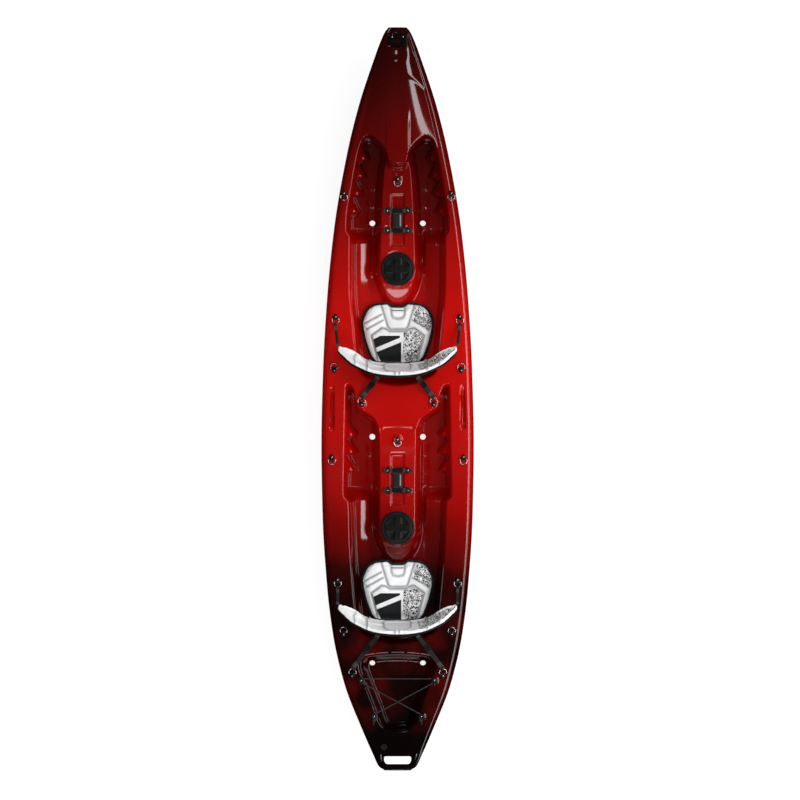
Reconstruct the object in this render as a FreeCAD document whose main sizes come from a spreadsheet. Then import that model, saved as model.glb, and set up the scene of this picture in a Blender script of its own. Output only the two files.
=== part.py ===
import FreeCAD, Part
import Sketcher
import math
import os

from FreeCAD import Placement, Rotation, Vector

# Two-seat sit-on-top kayak. Millimetres. +Y is the bow, +X is starboard, +Z is up.
# The origin is on the flat keel land, midway between bow and stern.

os.makedirs("parts", exist_ok=True)
doc = FreeCAD.newDocument("Kayak")

# ---------------------------------------------------------------- driving dimensions
DIMENSIONS = (
    ("wall", 5, "hull skin thickness"),
    ("cockpitPitch", 1290, "front seat to rear seat"),
    ("scupperRadius", 14.5, "self-draining hole"),
    ("scupperWall", 6, "wall around a scupper"),
    ("scupperX", 127, "scupper hole from centreline"),
    ("eyeWidth", 26, "pad eye lug across its base"),
    ("eyeLength", 31, "pad eye lug, heel to point"),
    ("eyeHeight", 9, "pad eye lug above deck"),
    ("ringWire", 2.5, "D-ring wire radius"),
    ("ringHalfWidth", 18, "D-ring centreline half width"),
    ("ringLeg", 5, "D-ring straight leg"),
    ("runningGap", 0.05, "radial clearance of a turning fit"),
    ("screwHead", 4.2, "pan head radius"),
    ("screwHeadRise", 2.4, "pan head height"),
    ("screwShank", 2.1, "self-tapping shank radius"),
    ("screwDepth", 15, "screw length under its head"),
    ("hatchRadius", 84, "hatch lid outer radius"),
    ("hatchFlange", 80, "hatch rim flange radius"),
    ("hatchFlangeRise", 4, "hatch rim flange thickness"),
    ("hatchBore", 56, "clear hatch opening radius"),
    ("hatchNeck", 61.9, "hatch rim neck outer radius"),
    ("hatchOpening", 62, "hole in the deck for a hatch rim"),
    ("hatchDepth", 22, "hatch rim neck depth"),
    ("hatchScrewCircle", 74, "hatch screw pitch radius"),
    ("hatchRise", 13, "hatch lid crown above the seat"),
    ("sealHeight", 2.5, "hatch seal section height"),
    ("gripPocket", 52, "hatch grip pocket outer radius"),
    ("gripWeb", 12, "hatch grip cross half width"),
    ("drainBore", 8, "drain collar thread radius"),
    ("drainNeck", 12, "drain collar neck radius"),
    ("drainFlange", 17, "drain collar flange radius"),
    ("drainHead", 14.5, "drain plug head radius"),
    ("drainDepth", 16, "drain collar neck depth"),
    ("buttonRadius", 14.5, "bungee button radius"),
    ("buttonNeck", 5, "bungee button neck radius"),
    ("buttonBase", 4, "bungee button base thickness"),
    ("buttonGap", 7.6, "space under a bungee button's cap"),
    ("buttonCap", 4.5, "bungee button cap thickness"),
    ("cordRadius", 3.5, "bungee cord radius"),
    ("webbingThickness", 2, "strap webbing"),
    ("retainerWidth", 19, "bottle retainer strap"),
    ("retainerSpan", 152, "bottle retainer strap, tip to tip"),
    ("retainerPitch", 100, "between the two straps of a retainer"),
    ("panelWidth", 48, "bottle retainer centre panel"),
    ("panelLength", 96, "bottle retainer centre panel, fore and aft"),
    ("lugWidth", 36, "retainer lug, fore and aft"),
    ("lugLength", 24, "retainer lug, athwartships"),
    ("lugRise", 5, "retainer lug"),
    ("lugX", 51, "retainer lug from centreline"),
    ("sliderLength", 48, "retainer slider, athwartships"),
    ("sliderBar", 5, "retainer slider bar"),
    ("sideStrapWidth", 15, "seat side strap"),
    ("rearStrapWidth", 23, "seat rear strap"),
    ("padThickness", 30, "seat pad"),
    ("backRadius", 430, "backrest curve, centre of thickness"),
    ("backThickness", 26, "backrest padding"),
    ("boardThickness", 3, "backrest board behind the padding"),
    ("backHeight", 273, "backrest"),
    ("backLean", 8.5, "backrest lean at rest, degrees"),
    ("wingX", 302, "backrest wing tip from centreline"),
    ("handleSlot", 136, "moulded stern handle slot, athwartships"),
    ("handleDepth", 40, "moulded stern handle slot, fore and aft"),
    ("bowHandleWidth", 88, "bow grab handle"),
    ("bowHandleDepth", 58, "bow grab handle, fore and aft"),
    ("bowHandleRise", 9, "bow grab handle thickness"),
)

sheet = doc.addObject("Spreadsheet::Sheet", "Dimensions")
D = {}
for row, (alias, value, note) in enumerate(DIMENSIONS, start=1):
    sheet.set(f"A{row}", note)
    sheet.set(f"B{row}", str(value))
    sheet.setAlias(f"B{row}", alias)
    D[alias] = value
doc.recompute()

SUBPARTS = []


def keep(obj, name):
    """Give a sub-part its label and list it for export."""
    obj.Label = name
    SUBPARTS.append(obj)
    return obj


def bound(text):
    """Turn 'wall * 2' style text into an expression on the sheet."""
    words = str(text).replace("(", " ( ").replace(")", " ) ").split()
    return " ".join("Dimensions." + w if w in D else w for w in words)


def bind(obj, **sizes):
    """Bind properties of an object to sheet expressions."""
    for prop, text in sizes.items():
        obj.setExpression(prop, bound(text))


# ---------------------------------------------------------------- hull form
def curve(stations, at):
    """Smooth curve through (place, value) stations with no overshoot."""
    if at <= stations[0][0]:
        return stations[0][1]
    if at >= stations[-1][0]:
        return stations[-1][1]
    k = max(i for i in range(len(stations) - 1) if stations[i][0] <= at)
    grades = []
    for i in range(max(k - 1, 0), min(k + 2, len(stations) - 1)):
        (p0, v0), (p1, v1) = stations[i], stations[i + 1]
        grades.append((v1 - v0) / (p1 - p0))
    here = grades[min(k, 1)]
    before = grades[0] if k > 0 else here
    after = grades[-1] if k < len(stations) - 2 else here

    def joint(a, b):
        return 2 * a * b / (a + b) if a * b > 0 else 0.0

    (p0, v0), (p1, v1) = stations[k], stations[k + 1]
    span = p1 - p0
    t = (at - p0) / span
    m0 = joint(before, here) * span
    m1 = joint(here, after) * span
    rise = t * t * (3 - 2 * t)
    return v0 + (v1 - v0) * rise + m0 * t * (1 - t) ** 2 - m1 * t * t * (1 - t)


def ramp(distance, width):
    """0 to 1 over width, with soft ends."""
    t = max(0.0, min(1.0, distance / width))
    return t * t * (3 - 2 * t)


# Along the boat from stern to bow: (Y, value).
HALF_BEAM = ((-1856, 60), (-1838, 92), (-1784, 119), (-1664, 173), (-1424, 267), (-1184, 323),
             (-944, 353), (-584, 376), (-224, 382), (136, 374), (496, 354), (856, 318),
             (1216, 256), (1456, 198), (1700, 118), (1800, 80), (1846, 55), (1856, 40))
SHEER = ((-1856, 316), (-1500, 303), (-1000, 295), (0, 292), (600, 300), (1200, 328),
         (1600, 365), (1800, 386), (1856, 384))
KEEL = ((-1856, 284), (-1795, 280), (-1750, 215), (-1660, 112), (-1500, 42), (-1250, 5),
        (-1050, -2.5), (1050, -2.5), (1280, 8), (1500, 50), (1650, 108), (1760, 190),
        (1830, 290), (1856, 345))
CROWN = ((-1856, 4), (-1700, 8), (-1240, 18), (-900, 5), (0, 25), (400, 5), (1000, 20),
         (1400, 48), (1700, 30), (1856, 8))
SHOULDER = ((-1856, 24), (-1700, 34), (-1300, 45), (1300, 45), (1750, 30), (1856, 18))
SEAM = ((-1856, 0.5), (-1500, 0.62), (1500, 0.62), (1856, 0.5))

# Cockpit plan: half widths of the outer wall and of the centre console, and how far
# forward the footwell reaches at each half width.
FRONT_WALL = ((60, 190), (150, 205), (263, 220), (343, 228), (583, 246), (810, 246), (845, 262),
              (884, 262), (1069, 236), (1211, 211), (1305, 185), (1400, 150))
REAR_WALL = ((-1230, 195), (-1140, 207), (-1027, 222), (-947, 230), (-707, 246), (-515, 252),
             (-482, 276), (-200, 272), (95, 266))
FRONT_TOE = ((0, 1178), (42, 1190), (55, 1240), (105, 1300), (144, 1322), (177, 1308), (220, 1240))
REAR_TOE = ((0, -140), (90, -140), (116, -96), (176, -52), (204, -32), (214, 30), (228, 66),
            (262, 90))
FRONT_CONSOLE = ((486, -110), (519, -10), (535, 30), (580, 66), (650, 90), (836, 82), (1150, 60),
                 (1190, 44))
REAR_CONSOLE = ((-804, -110), (-771, -10), (-755, 30), (-710, 66), (-640, 92), (-140, 98))
FRONT_CONSOLE_TOP = ((540, 250), (1000, 256), (1190, 268))
REAR_CONSOLE_TOP = ((-740, 250), (-320, 255), (-220, 278), (-140, 308))
FLOOR = ((150, 165), (500, 168), (600, 158), (700, 128), (800, 118), (1180, 128), (1250, 150),
         (1322, 190))
TANK_WELL = ((-1680, 20), (-1662, 60), (-1620, 98), (-1540, 126), (-1420, 172), (-1330, 200),
             (-1290, 198), (-1262, 150))
TANK_FLOOR = 178
SEAT_BACK_Y = 62
SEAT_BACK_SWEEP = 71
SEAT_BACK_HALF = 208
SEAT_BACK_SLOPE = 66


def cockpit(x, y, z, wall, toe, console, top, shift):
    """Height after sinking one cockpit, with its console, into a deck at height z."""
    a = abs(x)
    back = SEAT_BACK_Y - shift + SEAT_BACK_SWEEP * (a / SEAT_BACK_HALF) ** 2
    inside = ramp(curve(wall, y) - a, 38) * ramp(curve(toe, a) - y, 32) * ramp(y - back, SEAT_BACK_SLOPE)
    if inside <= 0:
        return z
    floor = curve(FLOOR, y + shift)
    crest = curve(top, y)
    bottom = crest + (floor - crest) * ramp(a - curve(console, y), 26)
    return z + (bottom - z) * inside


def deck(x, y):
    """Deck height."""
    half = curve(HALF_BEAM, y) - curve(SHOULDER, y)
    z = curve(SHEER, y) + curve(CROWN, y) * max(0.0, 1 - (x / half) ** 2)
    z = cockpit(x, y, z, FRONT_WALL, FRONT_TOE, FRONT_CONSOLE, FRONT_CONSOLE_TOP, 0)
    z = cockpit(x, y, z, REAR_WALL, REAR_TOE, REAR_CONSOLE, REAR_CONSOLE_TOP, D["cockpitPitch"])
    fore = ramp(-1266 - 20 * (x / 190) ** 2 - y, 40)
    aft = ramp(y + 1664 - 0.0015 * x * x, 40)
    well = ramp(curve(TANK_WELL, y) - abs(x), 45) * fore * aft
    return z + (TANK_FLOOR - z) * well


def deck_normal(x, y, reach):
    """Unit normal of the deck, averaged over a footprint of the given reach."""
    across = (deck(x + reach, y) - deck(x - reach, y)) / (2 * reach)
    along = (deck(x, y + reach) - deck(x, y - reach)) / (2 * reach)
    return Vector(-across, -along, 1).normalize()


DECK_COLUMNS = 27
BOTTOM_COLUMNS = 17


def section(y, inset):
    """Control points of the deck and of the bottom across the boat at y."""
    beam = curve(HALF_BEAM, y) - inset
    shoulder = curve(SHOULDER, y)
    flat = beam + inset - shoulder
    top = curve(SHEER, y) - inset
    keel = curve(KEEL, y) + inset
    seam = keel + (top - keel) * curve(SEAM, y)
    side = ((beam, seam), (beam, (seam + top) / 2),
            (beam - 0.18 * shoulder, top - 0.12 * (top - seam)), (beam - 0.55 * shoulder, top))
    upper = [Vector(-px, y, pz) for px, pz in side]
    for i in range(DECK_COLUMNS):
        x = flat * (2 * i / (DECK_COLUMNS - 1) - 1)
        point = Vector(x, y, deck(x, y)) - deck_normal(x, y, 2) * inset
        upper.append(Vector(point.x, y, point.z))
    upper += [Vector(px, y, pz) for px, pz in reversed(side)]

    mid = ramp(1500 - abs(y), 500)
    lower = []
    for i in range(BOTTOM_COLUMNS):
        s = 2 * i / (BOTTOM_COLUMNS - 1) - 1
        if i in (0, BOTTOM_COLUMNS - 1):
            lower.append(Vector(beam * s, y, seam))
        elif i in (1, BOTTOM_COLUMNS - 2):
            lower.append(Vector(math.copysign(beam, s), y, seam - 0.35 * (seam - keel)))
        else:
            q = abs(s) * (BOTTOM_COLUMNS - 1) / (BOTTOM_COLUMNS - 3)
            channel = 0.05 * math.exp(-((q - 0.4) / 0.13) ** 2)
            full = 0.03 * q + 0.12 * q * q + 0.25 * q ** 8 + channel
            vee = 0.35 * q ** 1.3
            rise = vee + (full - vee) * mid
            lower.append(Vector(math.copysign(0.97 * beam * q, s), y, keel + (seam - keel) * rise))
    return upper, lower


def skin(net):
    """Cubic surface over a net of control points."""
    def knots(count):
        return [float(i) for i in range(count - 2)], [4] + [1] * (count - 4) + [4]

    rows = [list(line) for line in zip(*net)]
    ku, mu = knots(len(rows))
    kv, mv = knots(len(net))
    surface = Part.BSplineSurface()
    surface.buildFromPolesMultsKnots(rows, mu, mv, ku, kv, False, False, 3, 3)
    return surface


def hull_solid(places, inset):
    """Closed solid of the hull form, drawn inwards by inset."""
    nets = [section(y, inset) for y in places]
    upper = skin([n[0] for n in nets])
    lower = skin([n[1] for n in nets])
    faces = [upper.toShape(), lower.toShape()]
    for end in (2, 3):
        rim = (upper.vIso(upper.bounds()[end]).toShape(), lower.vIso(lower.bounds()[end]).toShape())
        faces.append(Part.Face(Part.Wire(rim)))
    shell = Part.Compound(faces)
    shell.sewShape()
    solid = Part.Solid(shell.Shells[0])
    if solid.Volume < 0:
        solid.reverse()
    return solid


def spaced(start, stop, gap):
    count = round((stop - start) / gap)
    return [start + (stop - start) * i / count for i in range(count + 1)]


def cylinder_at(place, radius, top, bottom):
    """Cylinder on a placement's own Z axis, from bottom to top."""
    body = Part.makeCylinder(radius, top - bottom, Vector(0, 0, bottom))
    body.Placement = place
    return body


# ---------------------------------------------------------------- where things fasten
def on_deck(x, y, turn=0.0, lift=1.2, reach=15):
    """Placement on the deck: local Z is the deck's normal, local Y points at turn degrees."""
    normal = deck_normal(x, y, reach)
    spot = Vector(x, y, deck(x, y)) + normal * lift
    return Placement(spot, Rotation(Vector(0, 0, 1), normal) * Rotation(Vector(0, 0, 1), turn))


def level(x, y, z, turn=0.0):
    return Placement(Vector(x, y, z), Rotation(Vector(0, 0, 1), turn))


PITCH = D["cockpitPitch"]
FORWARD, AFT = 0.0, 180.0
# The deck curves upwards under the console lugs, so they stand a little higher.
CONSOLE_EYE_LIFT = 4.6
# A lug's point faces local +Y and its ring lies towards local -Y.
FREE_EYES = {
    "console_front": (0, 1090, FORWARD, CONSOLE_EYE_LIFT),
    "console_rear": (0, -211, FORWARD, CONSOLE_EYE_LIFT),
    "bow_port": (-268, 1018, FORWARD),
    "bow_starboard": (268, 1018, FORWARD),
    "mid_port": (-329, -302, FORWARD),
    "mid_starboard": (329, -302, FORWARD),
    "wing_front_port": (-317, 156, AFT),
    "wing_front_starboard": (317, 156, AFT),
    "wing_rear_port": (-270, -1163, AFT),
    "wing_rear_starboard": (270, -1163, AFT),
}
STRAP_EYES = {
    "side_front": (311, 401, FORWARD),
    "back_front": (180, -15, AFT),
    "side_rear": (300, -915, FORWARD),
    "back_rear": (226, -1371, AFT),
}
free_places = {name: on_deck(*spot) for name, spot in FREE_EYES.items()}
strap_places = {}
for name, (x, y, turn) in STRAP_EYES.items():
    strap_places[name, 1] = on_deck(x, y, turn)
    strap_places[name, -1] = on_deck(-x, y, turn)
eye_places = list(free_places.values()) + list(strap_places.values())

HATCH_SEATS = {"front": level(0, 651, 256), "rear": level(0, -645, 256)}
RETAINERS = {"front": Vector(0, 894, 257), "rear": Vector(0, -406, 257)}
lug_places = []
for centre in RETAINERS.values():
    for side in (1, -1):
        for end in (1, -1):
            spot = centre + Vector(side * D["lugX"], end * D["retainerPitch"] / 2, 0)
            lug_places.append(Placement(spot, Rotation(Vector(0, 0, 1), 90 - 90 * side)))

BUTTON_SPOTS = ((183, -1406), (118, -1586))
button_places = []
for x, y in BUTTON_SPOTS:
    for side in (1, -1):
        button_places.append(level(side * x, y, deck(x, y) + 2))

DRAIN = level(-69, -1739, deck(69, -1739) + 1.5)
BOW_HANDLE = level(0, 1790, deck(0, 1790) - 9)
SCUPPER_Y = (884, -189, -1324)
STERN_SLOT_Y = -1805

# ---------------------------------------------------------------- hull shell
OUTER_PLACES = [-1856, -1845] + spaced(-1810, 1810, 45) + [1845, 1856]
INNER_PLACES = spaced(-1760, 1838, 45)
KEEL_LAND = 1400
# Plastic left solid below the deck for screws and seats, and how far past a fitting it spreads.
EYE_BOSS, LUG_BOSS, BUTTON_BOSS, HATCH_BOSS, DRAIN_BOSS = 18, 16, 18, 24, 16
SPREAD = 3
# Cuts run this far past the skin on each side.
PAST_HATCH, PAST_DRAIN = 60, 40
HANDLE_BLOCK = Vector(D["bowHandleWidth"] + 14, D["bowHandleDepth"] + 20, 34)
HANDLE_BLOCK_DEPTH = 22
HANDLE_CLEAR = 2


def hull_shape():
    outer = hull_solid(OUTER_PLACES, 0)
    inner = hull_solid(INNER_PLACES, D["wall"])
    hollow = Part.makeSolid(Part.Compound([outer.Shells[0], inner.Shells[0].reversed()]))

    added = []
    holes = []
    for y in SCUPPER_Y:
        for side in (1, -1):
            spot = level(side * D["scupperX"], y, 0)
            tube = cylinder_at(spot, D["scupperRadius"] + D["scupperWall"], 300, -10)
            added.append(tube.common(outer))
            holes.append(cylinder_at(spot, D["scupperRadius"], 320, -20))
    for spot in eye_places:
        added.append(cylinder_at(spot, D["eyeWidth"] / 2 + 1, 0, -EYE_BOSS))
    for spot in lug_places:
        added.append(cylinder_at(spot, D["lugWidth"] / 2, 0, -LUG_BOSS))
    for spot in button_places:
        added.append(cylinder_at(spot, D["buttonRadius"] + 1, 0, -BUTTON_BOSS))
    for spot in HATCH_SEATS.values():
        added.append(cylinder_at(spot, D["hatchRadius"] + SPREAD, 0, -HATCH_BOSS))
        holes.append(cylinder_at(spot, D["hatchOpening"], PAST_HATCH, -PAST_HATCH))
    added.append(cylinder_at(DRAIN, D["drainFlange"] + SPREAD, 0, -DRAIN_BOSS))
    holes.append(cylinder_at(DRAIN, D["drainNeck"], PAST_DRAIN, -PAST_DRAIN))

    corner = Vector(-HANDLE_BLOCK.x / 2, -HANDLE_BLOCK.y / 2, -HANDLE_BLOCK_DEPTH)
    block = Part.makeBox(HANDLE_BLOCK.x, HANDLE_BLOCK.y, HANDLE_BLOCK.z, corner)
    block.Placement = BOW_HANDLE
    added.append(block.common(outer))
    width = D["bowHandleWidth"] + 2 * HANDLE_CLEAR
    depth = D["bowHandleDepth"] + 2 * HANDLE_CLEAR
    recess = Part.makeBox(width, depth, 60, Vector(-width / 2, -depth / 2, 0))
    recess.Placement = BOW_HANDLE
    holes.append(recess)

    radius = D["handleDepth"] / 2
    reach = D["handleSlot"] / 2 - radius
    slot = Part.makeBox(2 * reach, 2 * radius, 200, Vector(-reach, STERN_SLOT_Y - radius, 200))
    for side in (1, -1):
        end = cylinder_at(level(side * reach, STERN_SLOT_Y, 0), radius, 400, 200)
        slot = slot.fuse(end)
    holes.append(slot.removeSplitter())
    holes.append(Part.makeBox(KEEL_LAND, 2400, 20, Vector(-KEEL_LAND / 2, -1200, -20)))
    return hollow.multiFuse(added).cut(holes)


hull = doc.addObject("Part::Feature", "HullShell")
hull.Shape = hull_shape()
keep(hull, "hull_shell")


# ---------------------------------------------------------------- drawing helpers
def new_body(name):
    return doc.addObject("PartDesign::Body", name)


def sketch_on(body, name, plane="XY_Plane"):
    sketch = body.newObject("Sketcher::SketchObject", name)
    origin = [o for o in body.Origin.OriginFeatures if o.Role == plane][0]
    sketch.AttachmentSupport = [(origin, "")]
    sketch.MapMode = "FlatFace"
    return sketch


def guess(text):
    """Rough value of an expression, used as the solver's starting point."""
    return add_up(bound(text).replace("Dimensions.", ""))


def add_up(text):
    """Add up a flat expression of words and numbers joined by + - * /."""
    total, sign, product, pending = 0.0, 1.0, None, "*"
    for word in text.split():
        if word in "+-":
            total += sign * (product or 0.0)
            sign = 1.0 if word == "+" else -1.0
            product = None
            pending = "*"
        elif word in "*/":
            pending = word
        else:
            value = D[word] if word in D else float(word)
            if product is None:
                product = value
            else:
                product = product * value if pending == "*" else product / value
    return total + sign * (product or 0.0)


def polygon(sketch, corners):
    """Closed outline of (u, v) corners bound to expressions; a third value of -1 mirrors u."""
    corners = [corner if len(corner) == 3 else (*corner, 1) for corner in corners]
    points = [Vector(hand * guess(u), guess(v), 0) for u, v, hand in corners]
    count = len(points)
    for i in range(count):
        sketch.addGeometry(Part.LineSegment(points[i], points[(i + 1) % count]), False)
    for i in range(count):
        after = (i + 1) % count
        sketch.addConstraint(Sketcher.Constraint("Coincident", i, 2, after, 1))
    for i, (u, v, hand) in enumerate(corners):
        across = f"{hand} * ( {u} )"
        for kind, text, value in (("DistanceX", across, points[i].x), ("DistanceY", v, points[i].y)):
            number = sketch.addConstraint(Sketcher.Constraint(kind, -1, 1, i, 1, value))
            sketch.setExpression(f"Constraints[{number}]", bound(text))


def circle(sketch, radius, u="0", v="0"):
    """Circle bound to expressions for its radius and centre."""
    number = sketch.addGeometry(
        Part.Circle(Vector(guess(u), guess(v), 0), Vector(0, 0, 1), guess(radius)), False)
    size = sketch.addConstraint(Sketcher.Constraint("Radius", number, guess(radius)))
    sketch.setExpression(f"Constraints[{size}]", bound(radius))
    for kind, text in (("DistanceX", u), ("DistanceY", v)):
        place = sketch.addConstraint(Sketcher.Constraint(kind, -1, 1, number, 3, guess(text)))
        sketch.setExpression(f"Constraints[{place}]", bound(text))


def revolved(name, profile):
    """Body turned about Z from a half section of (radius, height) corners."""
    body = new_body(name)
    sketch = sketch_on(body, name + "Section", "XZ_Plane")
    polygon(sketch, profile)
    turned = body.newObject("PartDesign::Revolution", name + "Turned")
    turned.Profile = sketch
    turned.ReferenceAxis = (sketch, ["V_Axis"])
    turned.Angle = 360
    return body


def padded(name, corners, length, plane="XY_Plane"):
    """Body padded from a closed outline."""
    body = new_body(name)
    sketch = sketch_on(body, name + "Outline", plane)
    polygon(sketch, corners)
    pad = body.newObject("PartDesign::Pad", name + "Pad")
    pad.Profile = sketch
    bind(pad, Length=length)
    return body


def bore(body, radius, depth, u="0", v="0"):
    """Round pocket from the XY plane up through the body."""
    doc.recompute()
    sketch = sketch_on(body, body.Name + "Bore")
    circle(sketch, radius, u, v)
    pocket = body.newObject("PartDesign::Pocket", body.Name + "Hole")
    pocket.Profile = sketch
    pocket.Reversed = True
    bind(pocket, Length=depth)
    return pocket


def mirrored(corners):
    """Full outline from its right-hand half, listed from one end of the axis to the other."""
    left = [(u, v, -1) for u, v in reversed(corners) if u != "0"]
    return list(corners) + left


def group(name, master, places):
    """One node holding a copy of the master at each placement."""
    links = []
    for number, place in enumerate(places):
        link = doc.addObject("App::Link", f"{name}_{number}")
        link.LinkedObject = master
        link.Placement = place
        links.append(link)
    gathered = doc.addObject("Part::Compound", name + "_group")
    gathered.Links = links
    return keep(gathered, name)


def placed(name, master, place):
    """One node holding a single copy of the master."""
    return group(name, master, [place])


def seated(place, rise):
    """A placement moved along its own Z."""
    return place.multiply(Placement(Vector(0, 0, rise), Rotation()))


def shifted(place, x, y, z):
    return place.multiply(Placement(Vector(x, y, z), Rotation()))


# ---------------------------------------------------------------- pad eyes and D-rings
lug = padded("EyeLug", mirrored([
    ("0", "0 - 5"), ("eyeWidth / 2 - 2", "0 - 5"), ("eyeWidth / 2", "0 - 3"),
    ("eyeWidth / 2", "8"), ("eyeWidth / 4", "eyeLength - 8"), ("2.5", "eyeLength - 5"),
    ("0", "eyeLength - 5")]), "eyeHeight")
SCREW_Y = 12
bore(lug, "screwShank + 0.3", "eyeHeight", "0", str(SCREW_Y))
tunnel = lug.newObject("PartDesign::Pocket", "EyeTunnel")
tunnel_sketch = sketch_on(lug, "EyeTunnelSketch", "YZ_Plane")
circle(tunnel_sketch, "ringWire + runningGap", "0", "eyeHeight / 2")
tunnel.Profile = tunnel_sketch
tunnel.Midplane = True
bind(tunnel, Length="eyeWidth + 4")

screw = revolved("DeckScrew", [
    ("0", "0 - screwDepth"), ("screwShank", "0 - screwDepth + 2"), ("screwShank", "0"),
    ("screwHead", "0"), ("screwHead", "screwHeadRise / 2"),
    ("screwHead / 2", "screwHeadRise"), ("0", "screwHeadRise")])


def rod(name, radius, length, base, direction):
    """Round rod from base along direction."""
    piece = doc.addObject("Part::Cylinder", name)
    bind(piece, Radius=radius, Height=length)
    piece.Placement = Placement(base, Rotation(Vector(0, 0, 1), direction))
    return piece


half = D["ringHalfWidth"]
bow_of_ring = doc.addObject("Part::Torus", "RingBow")
bind(bow_of_ring, Radius1="ringHalfWidth", Radius2="ringWire")
bow_of_ring.Angle3 = 180
bow_of_ring.Placement = Placement(Vector(0, -D["ringLeg"], 0), Rotation(Vector(0, 0, 1), 180))
ring_pieces = [bow_of_ring]
ring_pieces.append(rod("RingBar", "ringWire", "2 * ringHalfWidth", Vector(-half, 0, 0), Vector(1, 0, 0)))
for side, tag in ((1, "Starboard"), (-1, "Port")):
    corner = Vector(side * half, 0, 0)
    ring_pieces.append(rod("RingLeg" + tag, "ringWire", "ringLeg", corner, Vector(0, -1, 0)))
    ball = doc.addObject("Part::Sphere", "RingCorner" + tag)
    bind(ball, Radius="ringWire")
    ball.Placement = Placement(corner, Rotation())
    ring_pieces.append(ball)
ring = doc.addObject("Part::MultiFuse", "EyeRing")
ring.Shapes = ring_pieces

RING_RISE = D["eyeHeight"] / 2
group("eye_lugs", lug, eye_places)
group("eye_screws", screw, [shifted(p, 0, SCREW_Y, D["eyeHeight"]) for p in eye_places])
group("strap_rings", ring, [seated(p, RING_RISE) for p in strap_places.values()])
for name, place in free_places.items():
    placed("ring_" + name, ring, seated(place, RING_RISE))

# ---------------------------------------------------------------- hatches
rim = revolved("HatchRim", [
    ("hatchBore", "0 - hatchDepth"), ("hatchNeck", "0 - hatchDepth"), ("hatchNeck", "0"),
    ("hatchFlange", "0"), ("hatchFlange", "hatchFlangeRise"), ("hatchBore", "hatchFlangeRise")])
doc.recompute()
rim_sketch = sketch_on(rim, "RimScrewHole")
circle(rim_sketch, "screwShank + 0.3", "hatchScrewCircle", "0")
rim_hole = rim.newObject("PartDesign::Pocket", "RimHole")
rim_hole.Profile = rim_sketch
rim_hole.Reversed = True
bind(rim_hole, Length="hatchFlangeRise")
rim_holes = rim.newObject("PartDesign::PolarPattern", "RimHoles")
rim_holes.Originals = [rim_hole]
rim_holes.Axis = (rim_sketch, ["N_Axis"])
rim_holes.Angle = 360
rim_holes.Occurrences = 6
rim.Tip = rim_holes

seal = revolved("HatchSeal", [
    ("hatchBore + 6", "0"), ("hatchBore + 10", "0"), ("hatchBore + 10", "sealHeight"),
    ("hatchBore + 6", "sealHeight")])

lid = revolved("HatchLid", [
    ("0", "0 - 10"), ("hatchBore - 0.08", "0 - 10"), ("hatchBore - 0.08", "hatchFlangeRise + sealHeight"),
    ("hatchFlange + 1", "hatchFlangeRise + sealHeight"), ("hatchFlange + 1", "1"),
    ("hatchRadius", "1"), ("hatchRadius", "hatchRise - 5"), ("hatchRadius - 5", "hatchRise - 1"),
    ("hatchBore", "hatchRise"), ("0", "hatchRise")])
doc.recompute()
pocket_sketch = sketch_on(lid, "GripSketch")
polygon(pocket_sketch, [
    ("gripWeb", "gripWeb"), ("gripPocket", "gripWeb"), ("gripPocket * 0.93", "gripPocket * 0.44"),
    ("gripPocket * 0.72", "gripPocket * 0.72"), ("gripPocket * 0.44", "gripPocket * 0.93"),
    ("gripWeb", "gripPocket")])
grip = lid.newObject("PartDesign::Pocket", "Grip")
grip.Profile = pocket_sketch
grip.Reversed = True
bind(grip, Length="hatchRise + 1")
grips = lid.newObject("PartDesign::PolarPattern", "Grips")
grips.Originals = [grip]
grips.Axis = (pocket_sketch, ["N_Axis"])
grips.Angle = 360
grips.Occurrences = 4
lid.Tip = grips

for name, seat in HATCH_SEATS.items():
    placed(f"hatch_{name}_rim", rim, seat)
    placed(f"hatch_{name}_seal", seal, seated(seat, D["hatchFlangeRise"]))
    placed(f"hatch_{name}_lid", lid, seat)
    ring_of_screws = []
    for k in range(6):
        turn = Placement(Vector(), Rotation(Vector(0, 0, 1), 60 * k))
        spot = Placement(Vector(D["hatchScrewCircle"], 0, D["hatchFlangeRise"]), Rotation())
        ring_of_screws.append(seat.multiply(turn).multiply(spot))
    group(f"hatch_{name}_screws", screw, ring_of_screws)

# ---------------------------------------------------------------- drain plug
collar = revolved("DrainCollar", [
    ("drainBore", "0 - drainDepth"), ("drainNeck + 0.1", "0 - drainDepth"), ("drainNeck + 0.1", "0"),
    ("drainFlange", "0"), ("drainFlange", "2"), ("drainFlange - 1", "3"), ("drainBore", "3")])
gasket = revolved("DrainSeal", [
    ("drainBore + 1", "3"), ("drainBore + 4", "3"), ("drainBore + 4", "4.5"), ("drainBore + 1", "4.5")])
plug = revolved("DrainPlug", [
    ("0", "0 - drainDepth + 2"), ("drainBore - runningGap", "0 - drainDepth + 2"),
    ("drainBore - runningGap", "4.5"), ("drainHead", "4.5"), ("drainHead", "9"),
    ("drainHead - 2", "11"), ("0", "11")])
doc.recompute()
coin = sketch_on(plug, "CoinSlotSketch", "XZ_Plane")
polygon(coin, [("0 - 1.5", "7.5"), ("1.5", "7.5"), ("1.5", "14"), ("0 - 1.5", "14")])
coin_slot = plug.newObject("PartDesign::Pocket", "CoinSlot")
coin_slot.Profile = coin
coin_slot.Midplane = True
bind(coin_slot, Length="drainHead * 1.5")
placed("drain_collar", collar, DRAIN)
placed("drain_seal", gasket, DRAIN)
placed("drain_plug", plug, DRAIN)

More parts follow.
